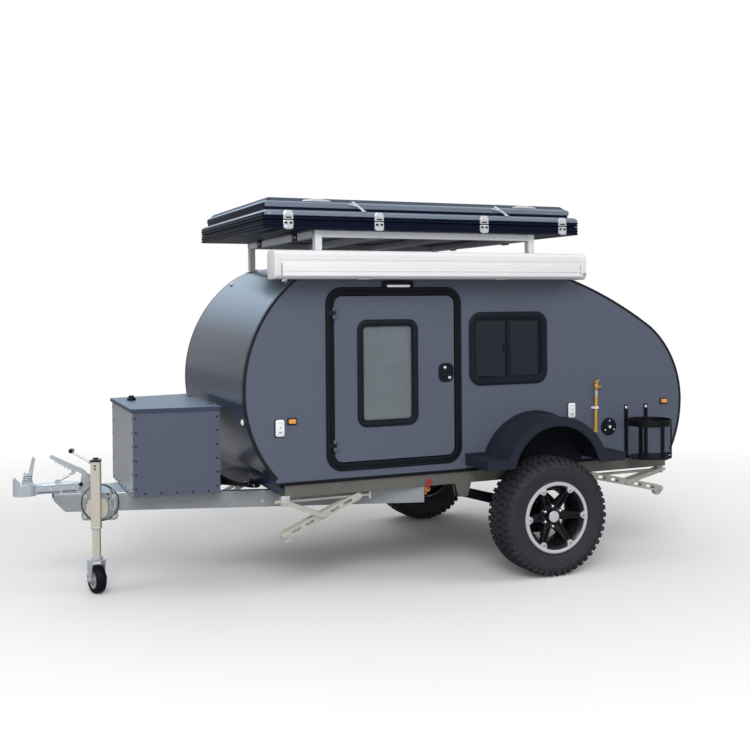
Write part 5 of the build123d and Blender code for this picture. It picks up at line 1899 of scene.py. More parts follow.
@dataclass
class RoofLoad(SubAssembly):
    """Clamps of the rack, awning case trims and the fittings of the roof tent.

    Attributes:
        rack: x of both ends of the rack.
        rack_y: Outer face of its rails.
        rack_top: Top of its rails.
        awning: Limits of the case in x, y and z.
        tent: x of both ends of the tent.
        tent_y: Half width of the tent.
        base_z: Lower edge, top of the base, foot and top of the lid's shell.
        latches: x of the toggle latches on the left side.
        latch_half: Half width of a latch.
    """

    rack: tuple[float, float] = (-0.037, 1.366)
    rack_y: float = 0.718
    rack_top: float = 2.024
    awning: tuple[float, ...] = (-0.25, 1.645, 0.78, 0.925, 1.747, 1.901)
    tent: tuple[float, float] = (-0.327, 1.671)
    tent_y: float = 0.788
    base_z: tuple[float, float, float, float] = (2.024, 2.07, 2.075, 2.114)
    latches: tuple[float, ...] = (1.54, 1.007, 0.339, -0.198)
    latch_half: float = 0.028

    def clamps(self) -> None:
        """Strut clamps with bolts under the rack's ends, and end plugs."""
        shape = Shape()
        x0, x1 = self.rack
        for x in (x1 - 0.02, x0 + 0.02):
            way = 1 if x > 0.5 else -1
            for y in (0.35, -0.42):
                face = x + way * 0.02
                low, high = min(face, face + way * 0.006), max(face, face + way * 0.006)
                shape.slot = 1
                shape.block((low - 0.0005, y - 0.046, self.rack_top - 0.046),
                    (high, y + 0.046, self.rack_top - 0.0005), 0.002)
                shape.slot = 0
                for dy in (-0.026, 0.026):
                    shape.bolt((face + way * 0.005, y + dy, self.rack_top - 0.02), (way, 0, 0), 0.015, 0.006)
        for y in (self.rack_y, -self.rack_y):
            way = 1 if y > 0 else -1
            for x in (x0, x1):
                out = -0.003 if x == x0 else 0.003
                shape.block((min(x, x + out), y - way * 0.02 - 0.018, self.rack_top - 0.038),
                    (max(x, x + out), y - way * 0.02 + 0.018, self.rack_top - 0.002), 0.001)
        shape.piece("rack_fixings", TRAILER, PLATED, BLACK_METAL)

    def awning_trims(self) -> None:
        """End caps, lead rail with its grooves and the lower lip of the awning case."""
        x0, x1, y0, y1, z0, z1 = self.awning
        shape = Shape()

        def outline(by: float) -> Outline:
            """Outline drawn in by a distance."""
            return rounded(y0 + by, y1 - by, z0 + by, z1 - by, 0.028 - by)

        for a, b in ((x0 - 0.034, x0 + 0.002), (x1 - 0.002, x1 + 0.012)):
            shape.prism(outline(-0.0022), Axis.X, a, b, 0.004, 3)
        shape.block((x0 + 0.004, y1 - 0.004, z0 + 0.012), (x1 - 0.03, y1 + 0.005, z0 + 0.088), 0.004)
        shape.block((x0 + 0.004, y1 + 0.003, z0 + 0.014), (x1 - 0.03, y1 + 0.0085, z0 + 0.03), 0.002)
        shape.block((x0 + 0.004, y1 + 0.003, z0 + 0.04), (x1 - 0.03, y1 + 0.0072, z0 + 0.05), 0.002)
        shape.block((x0 + 0.004, y1 - 0.001, z1 - 0.05), (x1 - 0.004, y1 + 0.002, z1 - 0.044), 0.001)
        shape.slot = 1
        for x in (x0 + 0.01, x1 - 0.026):
            shape.prism(rounded(x - 0.003, x + 0.003, z0 + 0.016, z0 + 0.084, 0.0025, 3), Axis.Y, y1 + 0.004,
                y1 + 0.0056, 0.0005)
        for x in (0.3, 1.15):
            shape.block((x - 0.035, y1 + 0.002, z0 - 0.003), (x + 0.035, y1 - 0.02, z0 + 0.003), 0.001)
        shape.lathe([(0.0045, y1 - 0.004), (0.0095, y1 - 0.004), (0.0095, y1 + 0.009), (0.0045, y1 + 0.009)],
            (x0 - 0.02, 0.0, z0 + 0.03), 24, Axis.Y, closed=True)
        shape.piece("awning_trims", TRAILER, WHITE, GREY_PLASTIC)

    def tent_ribs(self) -> None:
        """Ribs round the base and the lid's shell, and slats under the base."""
        x0, x1 = self.tent
        low, base, foot, _ = self.base_z

        def outline(by: float) -> Outline:
            """Outline drawn in by a distance."""
            return rounded(x0 + by, x1 - by, -self.tent_y + by, self.tent_y - by, 0.04 - by)

        for name, body, rows in (("tent_base_ribs", TRAILER, ((low + 0.001, low + 0.011),
                (low + 0.02, low + 0.03), (base - 0.008, base - 0.0005))), ("tent_lid_ribs", "roof_tent_lid",
                ((foot + 0.0005, foot + 0.008), (foot + 0.016, foot + 0.024)))):
            shape = Shape()
            for z0, z1 in rows:
                shape.band(outline(-0.0042), outline(0.002), Axis.Z, z0, z1, 0.0022)
            if body == TRAILER:
                for k in range(13):
                    x = x0 + 0.09 + k * (x1 - x0 - 0.18) / 12
                    shape.block((x - 0.03, -self.tent_y + 0.04, low - 0.0002),
                        (x + 0.03, self.tent_y - 0.04, low + 0.003), 0.002)
            shape.piece(name, body, GLOSS_BLACK)

    def tent_crown(self) -> None:
        """Bevelled shoulder and rim of the lid with a painted highlight on its sloping faces, and the
        fittings that stand on it.
        """
        x0, x1 = self.tent
        top = self.base_z[3]
        y = self.tent_y

        def outline(along: float, across: float, z: float) -> list[Vector]:
            """Outline at a height, drawn in along and across the trailer."""
            return [vec(u, v, z) for u, v in rounded(x0 + along, x1 - along, -y + across, y - across,
                max(0.01, 0.04 - along))]

        shape = Shape()
        shape.loft([outline(-0.0035, -0.0035, top - 0.018), outline(-0.0005, -0.0005, top + 0.0012),
            outline(0.011, 0.016, top + 0.0135), outline(0.0262, 0.0812, top + 0.014),
            outline(0.0262, 0.0812, top - 0.002), outline(0.005, 0.005, top - 0.015)], closed=True)
        shape.loft([outline(0.0232, 0.0782, top + 0.036), outline(0.0235, 0.0785, top + 0.0605),
            outline(0.0325, 0.0935, top + 0.07), outline(0.04, 0.1, top + 0.06),
            outline(0.03, 0.085, top + 0.037)], closed=True)
        item = shape.piece("tent_lid_bevel", "roof_tent_lid", BEVEL, GLOSS_BLACK, smooth=24.0)
        # Faces that look along x keep the black gloss; all others carry the painted highlight.
        for face in item.data.polygons:
            face.material_index = 1 if abs(face.normal.x) > 0.9 else 0

        fittings = Shape()
        rim = top + 0.074
        for x in (1.34, 0.006):
            fittings.block((x - 0.08, y - 0.118, rim - 0.002), (x + 0.085, y - 0.096, rim + 0.004), 0.002)
            fittings.pin((x - 0.06, y - 0.104, rim + 0.003), (x + 0.01, y - 0.104, rim + 0.0105), 0.0055, 12,
                0.001)
            fittings.pin((x + 0.01, y - 0.104, rim + 0.0105), (x + 0.07, y - 0.104, rim + 0.002), 0.0055, 12,
                0.001)
            fittings.rivet((x - 0.066, y - 0.107, rim + 0.0035), (0, 0, 1), 0.006, 0.003)
        for x in (1.12, 0.205):
            foot_end = (x - 0.026, y - 0.009, top + 0.018)
            head_end = (x + 0.018, y - 0.082, top + 0.074)
            fittings.pin(foot_end, head_end, 0.0058, 10, 0.001)
            fittings.pin((x - 0.006, y - 0.05, top + 0.045), (x + 0.038, y - 0.08, top + 0.062), 0.0045, 10,
                0.001)
            fittings.block((x - 0.038, y - 0.022, top + 0.0115), (x - 0.014, y - 0.004, top + 0.019), 0.002)
        fittings.piece("tent_lid_fittings", "roof_tent_lid", POLISHED)

    def tent_latches(self) -> None:
        """Toggle latches on the left side: catch on the lid, lever on the base."""
        low, base, foot, top = self.base_z
        y = self.tent_y
        catch, lever = Shape(), Shape()
        wide = self.latch_half
        for x in self.latches:
            catch.prism([(x - wide, foot + 0.001), (x + wide, foot + 0.001), (x + wide, top - 0.006),
                (x + wide * 0.6, top + 0.01), (x - wide * 0.6, top + 0.01), (x - wide, top - 0.006)], Axis.Y,
                y - 0.002, y + 0.0085, 0.0015)
            for dx in (-0.018, 0.018):
                catch.rivet((x + dx, y + 0.008, top - 0.01), LEFT, 0.0042, 0.0025)
            catch.slot = 1
            catch.block((x - wide * 0.55, y + 0.007, foot + 0.006),
                (x + wide * 0.55, y + 0.01, foot + 0.014), 0.001)
            catch.slot = 0
            lever.prism(rounded(x - wide, x + wide, low + 0.002, base + 0.0005, 0.005, 3), Axis.Y, y - 0.002,
                y + 0.0095, 0.002)
            lever.block((x - wide * 0.7, y + 0.009, low - 0.003), (x + wide * 0.7, y + 0.0125, low + 0.016),
                0.0015)
            lever.slot = 1
            for dx in (-0.5, 0.5):
                lever.block((x + wide * (dx - 0.3), y + 0.008, base - 0.02),
                    (x + wide * (dx + 0.3), y + 0.0108, base - 0.008), 0.001)
            lever.slot = 0
        catch.piece("tent_latch_catches", "roof_tent_lid", POLISHED, BLACK)
        lever.piece("tent_latch_levers", TRAILER, POLISHED, BLACK)

    def build(self) -> None:
        """Make the rack's, the awning's and the tent's pieces."""
        self.clamps()
        self.awning_trims()
        self.tent_ribs()
        self.tent_crown()
        self.tent_latches()


@dataclass
class Toolbox(SubAssembly):
    """Rivets and lid trims of the drawbar toolbox.

    Attributes:
        back: x and half width of its rear face.
        front: x and half width of its front face.
        foot: Lower edge of the walls.
        top: Upper edge of the walls.
    """

    back: tuple[float, float] = (1.85, 0.47)
    front: tuple[float, float] = (2.316, 0.389)
    foot: float = 0.551
    top: float = 1.028

    def side_point(self, share: float, out: float) -> tuple[Vector, Vector]:
        """Point on the left side wall with the way it faces.

        Args:
            share: 0 at the rear edge and 1 at the front edge.
            out: Distance out from the wall.

        Returns:
            The point at the floor and the facing.
        """
        a = vec(self.back[0], self.back[1], 0)
        b = vec(self.front[0], self.front[1], 0)
        facing = vec(-(b - a).y, (b - a).x, 0).normalized()
        return a.lerp(b, share) + facing * out, facing

    def build(self) -> None:
        """Make the rivets and the round knob of the lid."""
        shape = Shape()
        heights = [self.foot + 0.045 + 0.078 * k for k in range(6)]
        across = [-0.33 + 0.11 * k for k in range(7)]
        for share in (0.035, 0.965):
            spot, facing = self.side_point(share, 0.0)
            for z in heights:
                shape.rivet(spot + vec(0, 0, z), facing, 0.0062, 0.0024)
        for k in range(5):
            spot, facing = self.side_point(0.14 + 0.18 * k, 0.0)
            shape.rivet(spot + vec(0, 0, self.foot + 0.018), facing, 0.0062, 0.0024)
        shape.mirrored()
        x = self.front[0]
        for z in heights:
            for y in (-self.front[1] + 0.018, self.front[1] - 0.018):
                shape.rivet((x, y, z), (1, 0, 0), 0.0062, 0.0024)
        for y in across:
            shape.rivet((x, y, self.foot + 0.018), (1, 0, 0), 0.0062, 0.0024)
        shape.piece("toolbox_rivets", TRAILER, EDGE_BLACK)

        lid = Shape()
        for k in range(7):
            spot, facing = self.side_point(0.05 + 0.15 * k, 0.0102)
            for way in (1, -1):
                place = (spot.x, spot.y * way, self.top + 0.002)
                lid.rivet(place, (facing.x, facing.y * way, 0), 0.004, 0.002)
        for y in across:
            lid.rivet((x + 0.0102, y, self.top + 0.002), (1, 0, 0), 0.004, 0.002)
        lid.slot = 1
        lid.lathe([(0.0, 0.0405), (0.011, 0.0405), (0.0165, 0.037), (0.0175, 0.03), (0.0165, 0.0265),
            (0.0255, 0.0255), (0.0262, 0.0225), (0.0262, 0.0105)], (2.232, -0.18, self.top), 40, Axis.Z)
        lid.piece("toolbox_lid_trims", "box_lid", LID_BLUE, BLACK)


@dataclass
class Drawbar(SubAssembly):
    """Bolts, welds and looms of the drawbar, and the coupling's and the brake's fittings.

    Attributes:
        nose: x and outer y of a rail's front end.
        tail: x and outer y of its rear end.
        deck: Upper face of the deck plate.
        bends: Height at the toolbox and reach to the side of each loom.
    """

    nose: tuple[float, float] = (2.7, 0.075)
    tail: tuple[float, float] = (0.72, 0.745)
    deck: float = 0.551
    bends: tuple[tuple[float, float], ...] = ((0.588, 0.17), (0.606, 0.205), (0.624, 0.235), (0.64, 0.262),
        (0.655, 0.288))

    def rail_y(self, x: float) -> float:
        """Outer y of the left rail at a place along the trailer."""
        share = (self.nose[0] - x) / (self.nose[0] - self.tail[0])
        return self.nose[1] + (self.tail[1] - self.nose[1]) * share

    def fixings(self) -> None:
        """Bolts of the coupling and the deck, weld beads and the rails' end caps."""
        shape = Shape()
        for x in (2.59, 2.645, 2.715, 2.77):
            for way in (1, -1):
                shape.bolt((x, way * 0.038, 0.574), (0, way, 0), 0.012, 0.005)
        for x, y in ((2.66, 0.055), (2.56, 0.082), (2.4, 0.12)):
            for way in (1, -1):
                shape.bolt((x, way * y, self.deck), (0, 0, 1), 0.019, 0.008)
        for x in (2.62, 2.5, 2.38):
            bead = [(x + 0.05 - 0.0125 * k, self.rail_y(x + 0.05 - 0.0125 * k) - 0.006, self.deck - 0.0015)
                for k in range(9)]
            shape.tube(bead, 0.003, 8)
        for way in (1, -1):
            shape.block((1.532, way * 0.75 - 0.0015, 0.497), (1.581, way * 0.75 + 0.0015, 0.556), 0.001)
            shape.bolt((1.6, self.rail_y(1.6) * way, 0.485), (0, way, 0), 0.016, 0.006)
        # Slot 1 wears the frame zinc that is darkened as painted shade.
        shape.slot = 1
        for way in (1, -1):
            shape.rivet((1.556, way * 0.7512, 0.519), (0, way, 0), 0.006, 0.0012)
            for x in (1.25, 0.96, 0.5):
                shape.block((x - 0.01, way * 0.75 - 0.0015, 0.548), (x + 0.01, way * 0.75 + 0.0015, 0.61),
                    0.001)
        shape.piece("drawbar_bolts", TRAILER, PLATED, FRAME_PAINTED_SHADE)

    def looms(self) -> None:
        """Ribbed looms that leave the toolbox in wide bends and run under the cabin, with their ties."""
        shape = Shape()
        ties = Shape()
        steps = 22
        for k, (start, reach) in enumerate(self.bends):
            line = []
            for i in range(steps + 1):
                share = i / steps
                turn = pi * share
                drop = (start - 0.56) * (1 - share) ** 1.5
                line.append((1.716 + 0.126 * cos(turn), 0.15 + 0.022 * k + reach * sin(turn), 0.56 + drop))
            shape.tube(line, 0.0088, 12)
            for i in range(1, steps):
                p, q = Vector(line[i]), Vector(line[i + 1])
                way = (q - p).normalized()
                shape.pin(p - way * 0.0022, p + way * 0.0022, 0.0099, 12)
            p, q = Vector(line[9 + k]), Vector(line[10 + k])
            way = (q - p).normalized()
            ties.pin(p + way * 0.004, p + way * 0.008, 0.0106, 16)
        shape.block((1.833, 0.125, 0.575), (1.85, 0.275, 0.668), 0.002)
        shape.piece("wiring_looms", TRAILER, RUBBER)
        ties.piece("loom_ties", TRAILER, WHITE_PLASTIC)

    def coupling(self) -> None:
        """Cup lip, ribbed latch with its pins, the plates of the coupling head, and black strips that paint
        the shade in the latch's grooves and under the head.
        """
        shape = Shape()
        shape.lathe([(0.0266, 0.5455), (0.034, 0.5455), (0.0365, 0.549), (0.0365, 0.556), (0.0266, 0.556)],
            (2.856, 0.0, 0.0), 40, Axis.Z, closed=True)
        shape.prism(rounded(2.799, 2.896, -0.045, 0.045, 0.034, 8), Axis.Z, 0.6035, 0.608, 0.0025)
        shape.block((2.815, -0.0212, 0.666), (2.8535, 0.0212, 0.6755), 0.004)
        for k in range(5):
            z = 0.615 + 0.0105 * k
            lean = 0.12 * (z - 0.604)
            shape.block((2.806 + lean, -0.0225, z), (2.866 - 1.6 * lean, 0.0225, z + 0.0052), 0.002)
        shape.pin((2.835, -0.026, 0.662), (2.835, 0.026, 0.662), 0.006, 16, 0.001)
        shape.pin((2.801, -0.022, 0.748), (2.801, 0.022, 0.748), 0.0065, 16, 0.0015)
        shape.pin((2.823, -0.0205, 0.645), (2.823, 0.0205, 0.645), 0.005, 16, 0.001)
        shape.slot = 1
        shape.block((2.596, -0.0395, 0.5975), (2.76, 0.0395, 0.6005), 0.001)
        # Black strips of painted shade: a thin slab for the shadow gap under the head, and fills in the
        # grooves between the latch's ribs.
        shape.slot = 2
        shape.block((2.58, -0.0388, 0.556), (2.79, 0.0388, 0.561), 0.0005)
        for k in range(4):
            z = 0.6216 + 0.0105 * k
            lean = 0.12 * (z - 0.604)
            shape.block((2.8075 + lean, -0.0208, z), (2.8645 - 1.6 * lean, 0.0208, z + 0.0026), 0.0002)
        shape.piece("coupling_fittings", TRAILER, CAST, PLATED, BLACK)

    def brake(self) -> None:
        """Ribbed grip, button and pins of the hand brake, and the strut's collars."""
        shape = Shape()
        start, end = vec(2.612, 0, 0.692), vec(2.706, 0, 0.75)
        way = (end - start).normalized()
        up = vec(-way.z, 0, way.x)
        for k in range(8):
            spot = start + way * (0.006 + 0.0125 * k) + up * 0.0085
            shape.pin(spot + vec(0, -0.0105, 0), spot + vec(0, 0.0105, 0), 0.0048, 12, 0.001)
        shape.pin(end - way * 0.004, end + way * 0.006, 0.0085, 16, 0.003)
        shape.pin((2.509, -0.0245, 0.6), (2.509, 0.0245, 0.6), 0.01, 6, 0.001)
        for y in (-0.0115, 0.0115):
            shape.pin((2.676, y - 0.002, 0.614), (2.676, y + 0.002, 0.614), 0.0075, 16, 0.0005)
        low, high = vec(2.676, 0, 0.614), vec(2.587, 0, 0.656)
        run = (high - low)
        for share in (0.1, 0.6):
            spot = low + run * share
            shape.pin(spot, spot + run.normalized() * 0.006, 0.0105, 20, 0.001)
        shape.slot = 1
        shape.lathe([(0.0, 0.034), (0.01, 0.036), (0.012, 0.046), (0.01, 0.056), (0.0, 0.058)],
            (2.553, 0.0, 0.593), 20, Axis.Y)
        shape.pin((2.553, 0.018, 0.593), (2.553, 0.038, 0.593), 0.004, 10)
        shape.piece("brake_lever_fittings", TRAILER, PLATED, BLACK)

    def build(self) -> None:
        """Make the fixings, the looms and the fittings at the nose."""
        self.fixings()
        self.looms()
        self.coupling()
        self.brake()


@dataclass
class BreakawayCable:
    """Coated cable that hangs in one loop at the jockey bracket and ends in a snap hook.

    Attributes:
        root: Place of the bracket's frame.
        turn: Turn of that frame in degrees.
        points: Route of the cable in that frame.
        loop: x and z of the middle of the loop, its radius and its y at both ends.
        turns: Points round the loop.
        end: Last points, down to the hook.
        thick: Diameter over the coat.
        length: Length from end to end; not used.
    """

    root: tuple[float, float, float] = (2.473, 0.151813, 0.0)
    turn: float = -18.695
    points: tuple[tuple[float, float, float], ...] = ((0.067, -0.115, 0.598), (0.056, -0.088, 0.598),
        (0.044, -0.06, 0.599), (0.029, -0.033, 0.601), (0.006, -0.008, 0.603))
    loop: tuple[float, float, float, float, float] = (-0.014, 0.5, 0.105, 0.011, 0.0175)
    turns: int = 13
    end: tuple[tuple[float, float, float], ...] = ((-0.069, 0.0175, 0.583), (-0.084, 0.0175, 0.56),
        (-0.084, 0.0175, 0.534))
    thick: float = 0.005
    length: float = 0.8996

    def place(self) -> Matrix:
        """Frame of the bracket, from the axle."""
        return Matrix.Translation(self.root) @ Matrix.Rotation(radians(self.turn), 4, "Z")

    def route(self) -> list[Vector]:
        """Lay the cable's line from its clamp to its hook.

        Returns:
            Its points in the CAD frame.
        """
        x, z, radius, low, high = self.loop
        line = list(self.points)
        for k in range(self.turns + 1):
            angle = radians(100 + 360 * k / self.turns)
            line.append((x + radius * cos(angle), low + (high - low) * k / self.turns,
                z + radius * sin(angle)))
        line += self.end
        return [at(*(self.place() @ Vector(p))) for p in line]

    def build(self) -> None:
        """Make the cable as one smooth curve and its two ferrules."""
        line = self.route()
        data = bpy.data.curves.new("breakaway_cable_line", "CURVE")
        data.dimensions = "3D"
        data.bevel_depth = self.thick / 2
        data.bevel_resolution = 3
        data.resolution_u = 10
        spline = data.splines.new("NURBS")
        spline.points.add(len(line) - 1)
        for point, spot in zip(spline.points, line):
            point.co = (*spot, 1.0)
        spline.order_u = 3
        spline.use_endpoint_u = True
        data.materials.append(CABLE_COAT.material())
        item = show("breakaway_cable_line", data)
        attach(item, TRAILER)
        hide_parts("breakaway_cable")

        shape = Shape(self.place())
        for a, b in ((Vector(self.points[0]), Vector(self.points[1])),
                (Vector(self.end[-1]), Vector(self.end[-2]))):
            way = (b - a).normalized()
            shape.pin(a - way * 0.004, a + way * 0.014, 0.004, 16, 0.0006)
        a = Vector(self.points[0])
        shape.pin(a + vec(-0.002, 0.0, -0.008), a + vec(-0.002, 0.0, 0.008), 0.0058, 16, 0.001)
        x, y, z = self.end[-1]
        shape.pin((x - 0.0145, y, z - 0.064), (x - 0.0145, y, z - 0.026), 0.0036, 12, 0.0005)
        ferrules = shape.piece("cable_ferrules", TRAILER, PLATED)


@dataclass
class Jockey(SubAssembly):
    """Crank, bolts, holes painted as black discs of shade, and wheel of the jockey stand.

    Attributes:
        place: Frame of the bracket, from the axle.
        out: Distance of the tube's middle from the rail.
        wheel_r: Radius of the wheel.
        caster: Turn of the wheel's fork about the tube, in degrees.
    """

    place: Matrix = field(default_factory=lambda: BreakawayCable().place())
    out: float = 0.05
    wheel_r: float = 0.08
    caster: float = -55.0

    def tube(self) -> None:
        """Collars, cap, side bolts and crank of the tube, and black discs that paint the shade in its holes.
        """
        y = self.out
        shape = Shape(self.place)
        for slot, z0, z1 in ((0, 0.3625, 0.374), (1, 0.738, 0.7505)):
            shape.slot = slot
            shape.band(rounded(-0.0275, 0.0275, y - 0.0275, y + 0.0275, 0.006, 4),
                rounded(-0.0245, 0.0245, y - 0.0245, y + 0.0245, 0.004, 4), Axis.Z, z0, z1, 0.001)
        shape.pin((0, y, 0.75), (0, y, 0.7595), 0.0165, 24, 0.002)
        shape.slot = 0
        shape.pin((0.024, y, 0.739), (0.038, y, 0.739), 0.0125, 20, 0.002)
        shape.pin((0.028, y, 0.7335), (0.14, y, 0.802), 0.0064, 14, 0.001)
        for z in (0.43, 0.51):
            for x in (-0.04, 0.04):
                shape.bolt((x, y - 0.0335, z), (0, -1, 0), 0.014, 0.006)
        # Black discs paint the shade inside the tube's holes.
        shape.slot = 1
        for z in (0.716, 0.699):
            shape.pin((0, y + 0.0245, z), (0, y + 0.0254, z), 0.0055, 20)
            shape.pin((0.0245, y, z), (0.0254, y, z), 0.0055, 20)
        shape.lathe([(0.0, y - 0.016), (0.01, y - 0.0155), (0.0125, y - 0.008), (0.0138, y + 0.006),
            (0.0138, y + 0.018), (0.0105, y + 0.0245), (0.0, y + 0.026)], (0.131, 0.0, 0.802), 24, Axis.Y)
        shape.piece("jockey_crank", "jockey_swing", PLATED, BLACK)

    def bracket(self) -> None:
        """Bolts of the bracket and its spring pin, and black discs that paint the shade in its holes."""
        shape = Shape(self.place)
        for x in (-0.09, 0.07):
            for z in (0.42, 0.535):
                shape.bolt((x, 0.008, z), LEFT, 0.017, 0.007)
        shape.pin((0.062, 0.006, 0.45), (0.062, 0.01, 0.45), 0.008, 16, 0.001)
        # Black discs paint the shade inside the bracket's holes.
        shape.slot = 1
        for x, z in ((0.058, 0.5), (0.058, 0.477), (0.036, 0.54), (-0.056, 0.545), (-0.062, 0.52)):
            shape.pin((x, 0.0075, z), (x, 0.0086, z), 0.0055, 16)
        shape.piece("jockey_bracket_bolts", TRAILER, PLATED, BLACK)

    def roller(self) -> None:
        """Tyre and ribbed hub of the wheel, and the axle bolts and collar of its fork."""
        turned = self.place @ Matrix.Translation((0, self.out, 0)) @ Matrix.Rotation(radians(self.caster), 4,
            "Z")
        shape = Shape(turned)
        r = self.wheel_r
        shape.lathe(doubled([(0.05, -0.026), (0.056, -0.029), (0.066, -0.0285), (0.0755, -0.0235),
            (0.079, -0.015), (r - 0.0004, -0.004)]), (0, 0, r), 64, Axis.Y, closed=True)
        shape.slot = 1
        shape.lathe(doubled([(0.0086, -0.03), (0.018, -0.03), (0.02, -0.028), (0.021, -0.019),
            (0.044, -0.015), (0.0505, -0.0255), (0.0525, -0.0255)]), (0, 0, r), 48, Axis.Y, closed=True)
        for way in (1, -1):
            for k in range(6):
                out, wide = spoke(radians(60 * k))
                spot = vec(0.033 * out.x, 0, r + 0.033 * out.z)
                corners = [spot - out * 0.013 - wide * 0.003, spot + out * 0.015 - wide * 0.003,
                    spot + out * 0.015 + wide * 0.003, spot - out * 0.013 + wide * 0.003]
                shape.loft([[c + vec(0, way * 0.012, 0) for c in corners],
                    [c + vec(0, way * 0.021, 0) for c in corners]])
        item = shape.piece("jockey_roller_tyre", "jockey_roller", RUBBER, GREY_PLASTIC)
        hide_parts("jockey_wheel")
        fork = Shape(turned)
        for way in (1, -1):
            fork.bolt((0, way * 0.0495, r), (0, way, 0), 0.017, 0.007)
        fork.pin((0, 0, 0.1895), (0, 0, 0.2062), 0.0335, 32, 0.003)
        fork.piece("jockey_fork_bolt", "jockey_caster", PLATED)

    def build(self) -> None:
        """Make the crank, the bracket's bolts and the wheel."""
        self.tube()
        self.bracket()
        self.roller()


@dataclass
class Steadies(SubAssembly):
    """Threads, hexagon ends, nuts, pins and feet of the four corner steadies.

    Attributes:
        z: Height of the spindles.
        y: Distance of the spindles from the middle.
        ends: x of the fixed pivot, x of the nut and the link's length, by end.
    """

    z: float = 0.519
    y: float = 0.715
    ends: tuple[tuple[str, float, float, float], ...] = (("front", 1.556, 1.126, 0.234),
        ("rear", -0.96, -0.438, 0.268))

    def build(self) -> None:
        """Make the spindle's parts on the trailer and the foot's on each leg."""
        shape, y, z = Shape(), self.y, self.z
        for end, base, nut, length in self.ends:
            way = 1 if base > nut else -1
            turns = 46
            start, stop = base - way * 0.05, nut - way * 0.03
            for k in range(turns):
                x = start + (stop - start) * (k + 0.5) / turns
                shape.pin((x - 0.0022, y, z), (x + 0.0022, y, z), 0.0092, 12)
            shape.pin((base + way * 0.021, y, z), (base + way * 0.052, y, z), 0.011, 6, 0.001)
            shape.pin((base + way * 0.02, y, z), (base + way * 0.027, y, z), 0.015, 24, 0.001)
            for side in (1, -1):
                shape.pin((base, y + side * 0.0335, z), (base, y + side * 0.0385, z), 0.013, 6, 0.001)
        shape.mirrored().piece("steady_threads", TRAILER, STEADY_ZINC)
        for end, base, nut, length in self.ends:
            out = 1 if base > nut else -1
            half = (base - nut) / 2
            drop = sqrt(length * length - half * half)
            foot = vec(base, y, z - 2 * drop)
            toe = foot + vec(-out * 0.014, 0, -0.014)
            knee = vec(base - half, y, z - drop)
            for side, way in SIDES.items():
                leg = Shape()
                leg.pin(toe + vec(0, -0.0155, 0), toe + vec(0, 0.0155, 0), 0.0286, 36, 0.003)
                for off in (-1, 1):
                    leg.pin(foot + vec(0, off * 0.0225, 0), foot + vec(0, off * 0.0255, 0), 0.015, 24, 0.001)
                    leg.pin(foot + vec(0, off * 0.025, 0), foot + vec(0, off * 0.0325, 0), 0.012, 6, 0.001)
                leg.pin(vec(nut, y - 0.0285, z), vec(nut, y + 0.0285, z), 0.0095, 20, 0.001)
                leg.block((nut - 0.016, y - 0.016, z - 0.013), (nut + 0.016, y + 0.016, z + 0.013), 0.003)
                leg.piece(f"{end}_{side}_steady_foot", f"{end}_{side}_leg", STEADY_ZINC, side=way)
                link = Shape()
                for off in (-1, 1):
                    link.pin(knee + vec(0, off * 0.0325, 0), knee + vec(0, off * 0.0375, 0), 0.011, 6, 0.001)
                link.piece(f"{end}_{side}_steady_pin", f"{end}_{side}_link", STEADY_ZINC, side=way)


@dataclass
class Underside(SubAssembly):
    """Tank straps, drain pipe with its valve, and dampers under the floor.

    Attributes:
        tank: Limits of the water tank in x, half width and z.
    """

    tank: tuple[float, ...] = (0.56, 0.94, 0.38, 0.47, 0.615)

    def build(self) -> None:
        """Make the straps, the drain and the dampers."""
        x0, x1, half, low, high = self.tank
        shape = Shape()
        for x in (x0 + 0.08, x1 - 0.08):
            outer = square(-half - 0.005, half + 0.005, low - 0.005, high - 0.002)
            inner = square(-half + 0.002, half - 0.002, low + 0.002, high - 0.004)
            shape.band(outer, inner, Axis.X, x - 0.02, x + 0.02, 0.001)
        shape.piece("tank_straps", TRAILER, BLACK_METAL)

        drain = Shape()
        y = 0.66
        drain.tube([(0.7, half - 0.01, 0.5), (0.7, half + 0.08, 0.5), (0.7, half + 0.17, 0.512),
            (0.7, y - 0.05, 0.524), (0.7, y, 0.528)], 0.011, 14)
        drain.slot = 1
        drain.pin((0.7, y - 0.01, 0.528), (0.7, y + 0.098, 0.528), 0.015, 20, 0.002)
        drain.pin((0.7, y + 0.05, 0.528), (0.7, y + 0.05, 0.49), 0.012, 16, 0.002)
        drain.pin((0.7, y + 0.066, 0.528), (0.7, y + 0.08, 0.528), 0.02, 6, 0.002)
        drain.slot = 2
        drain.prism([(0.694, 0.524), (0.712, 0.532), (0.704, 0.584), (0.682, 0.588), (0.676, 0.572),
            (0.69, 0.562)], Axis.Y, y + 0.0975, y + 0.1045, 0.002)
        drain.piece("drain_valve", TRAILER, GREY_PLASTIC, BRASS, RED_PLASTIC)

        damper = Shape()
        low_end, high_end = vec(-0.055, 0.69, 0.372), vec(-0.17, 0.69, 0.548)
        way = (high_end - low_end).normalized()
        damper.pin(low_end, low_end + way * 0.115, 0.022, 24, 0.003)
        damper.pin(low_end + way * 0.11, high_end, 0.009, 16)
        damper.pin(low_end + way * 0.105, low_end + way * 0.117, 0.0245, 24, 0.002)
        for spot in (low_end, high_end):
            damper.pin(spot + vec(0, -0.02, 0), spot + vec(0, 0.035, 0), 0.014, 20, 0.002)
        damper.mirrored().piece("dampers", TRAILER, BLACK_METAL)


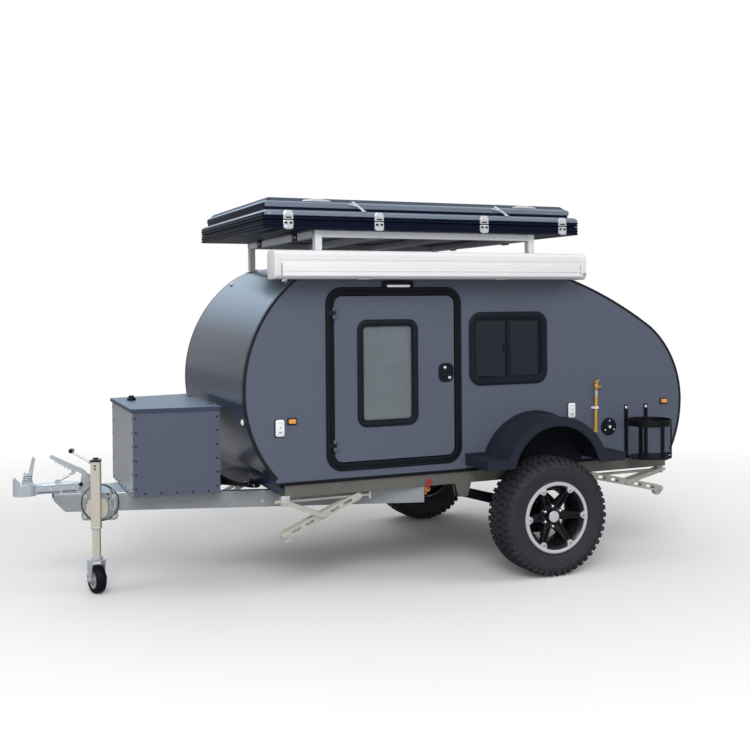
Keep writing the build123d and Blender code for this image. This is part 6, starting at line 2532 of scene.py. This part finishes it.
@dataclass
class Galley(SubAssembly):
    """Fronts, sink and handles behind the rear hatch.

    Attributes:
        back: x of the bulkhead.
        shelf: Height of the worktop.
        half: Half width inside the walls.
    """

    back: float = -0.23
    shelf: float = 0.925
    half: float = 0.728

    def build(self) -> None:
        """Make the cupboard fronts, their handles and the sink."""
        shape = Shape()
        width = (2 * self.half - 0.03) / 3
        for k in range(3):
            y = -self.half + 0.015 + width * k
            for z0, z1 in ((0.645, 0.885), (1.13, 1.4)):
                shape.prism(rounded(y + 0.006, y + width - 0.006, z0, z1, 0.012, 4), Axis.X,
                    self.back - 0.017, self.back + 0.001, 0.002)
        shape.slot = 1
        for k in range(3):
            y = -self.half + 0.015 + width * (k + 0.5)
            for z in (0.86, 1.155):
                shape.block((self.back - 0.032, y - 0.06, z - 0.006),
                    (self.back - 0.024, y + 0.06, z + 0.006), 0.003)
                for dy in (-0.05, 0.05):
                    shape.pin((self.back - 0.026, y + dy, z), (self.back - 0.015, y + dy, z), 0.004, 10)
        shape.slot = 2
        outer = rounded(-0.64, -0.38, -0.56, -0.22, 0.05)
        shape.band(outer, moved_in(outer, 0.016), Axis.Z, self.shelf - 0.001, self.shelf + 0.004, 0.001)
        shape.prism(moved_in(outer, 0.015), Axis.Z, self.shelf - 0.0005, self.shelf + 0.0012)
        shape.pin((-0.345, -0.39, self.shelf - 0.001), (-0.345, -0.39, self.shelf + 0.11), 0.01, 20, 0.001)
        shape.tube([(-0.345, -0.39, self.shelf + 0.104), (-0.375, -0.39, self.shelf + 0.124),
            (-0.43, -0.39, self.shelf + 0.122), (-0.45, -0.39, self.shelf + 0.106)], 0.007, 12)
        shape.piece("galley_fronts", TRAILER, WOOD, BLACK, POLISHED)


def main() -> None:
    """Build the studio and every sub-assembly in order."""
    logging.basicConfig(level=logging.INFO, format="%(message)s")
    Studio().build()
    BreakawayCable().build()
    groups: list[SubAssembly] = [Bodywork(), Cabin()]
    for side in SIDES:
        groups += [EntryDoor(side), SideWindow(side), Wheel(side)]
    groups += [Lamps(), GasLine(), Arch(), RoofLoad(), Toolbox(), Drawbar(), Jockey(), Steadies(),
        Underside(), Galley()]
    for group in groups:
        group.build()


if __name__ == "__main__":
    main()
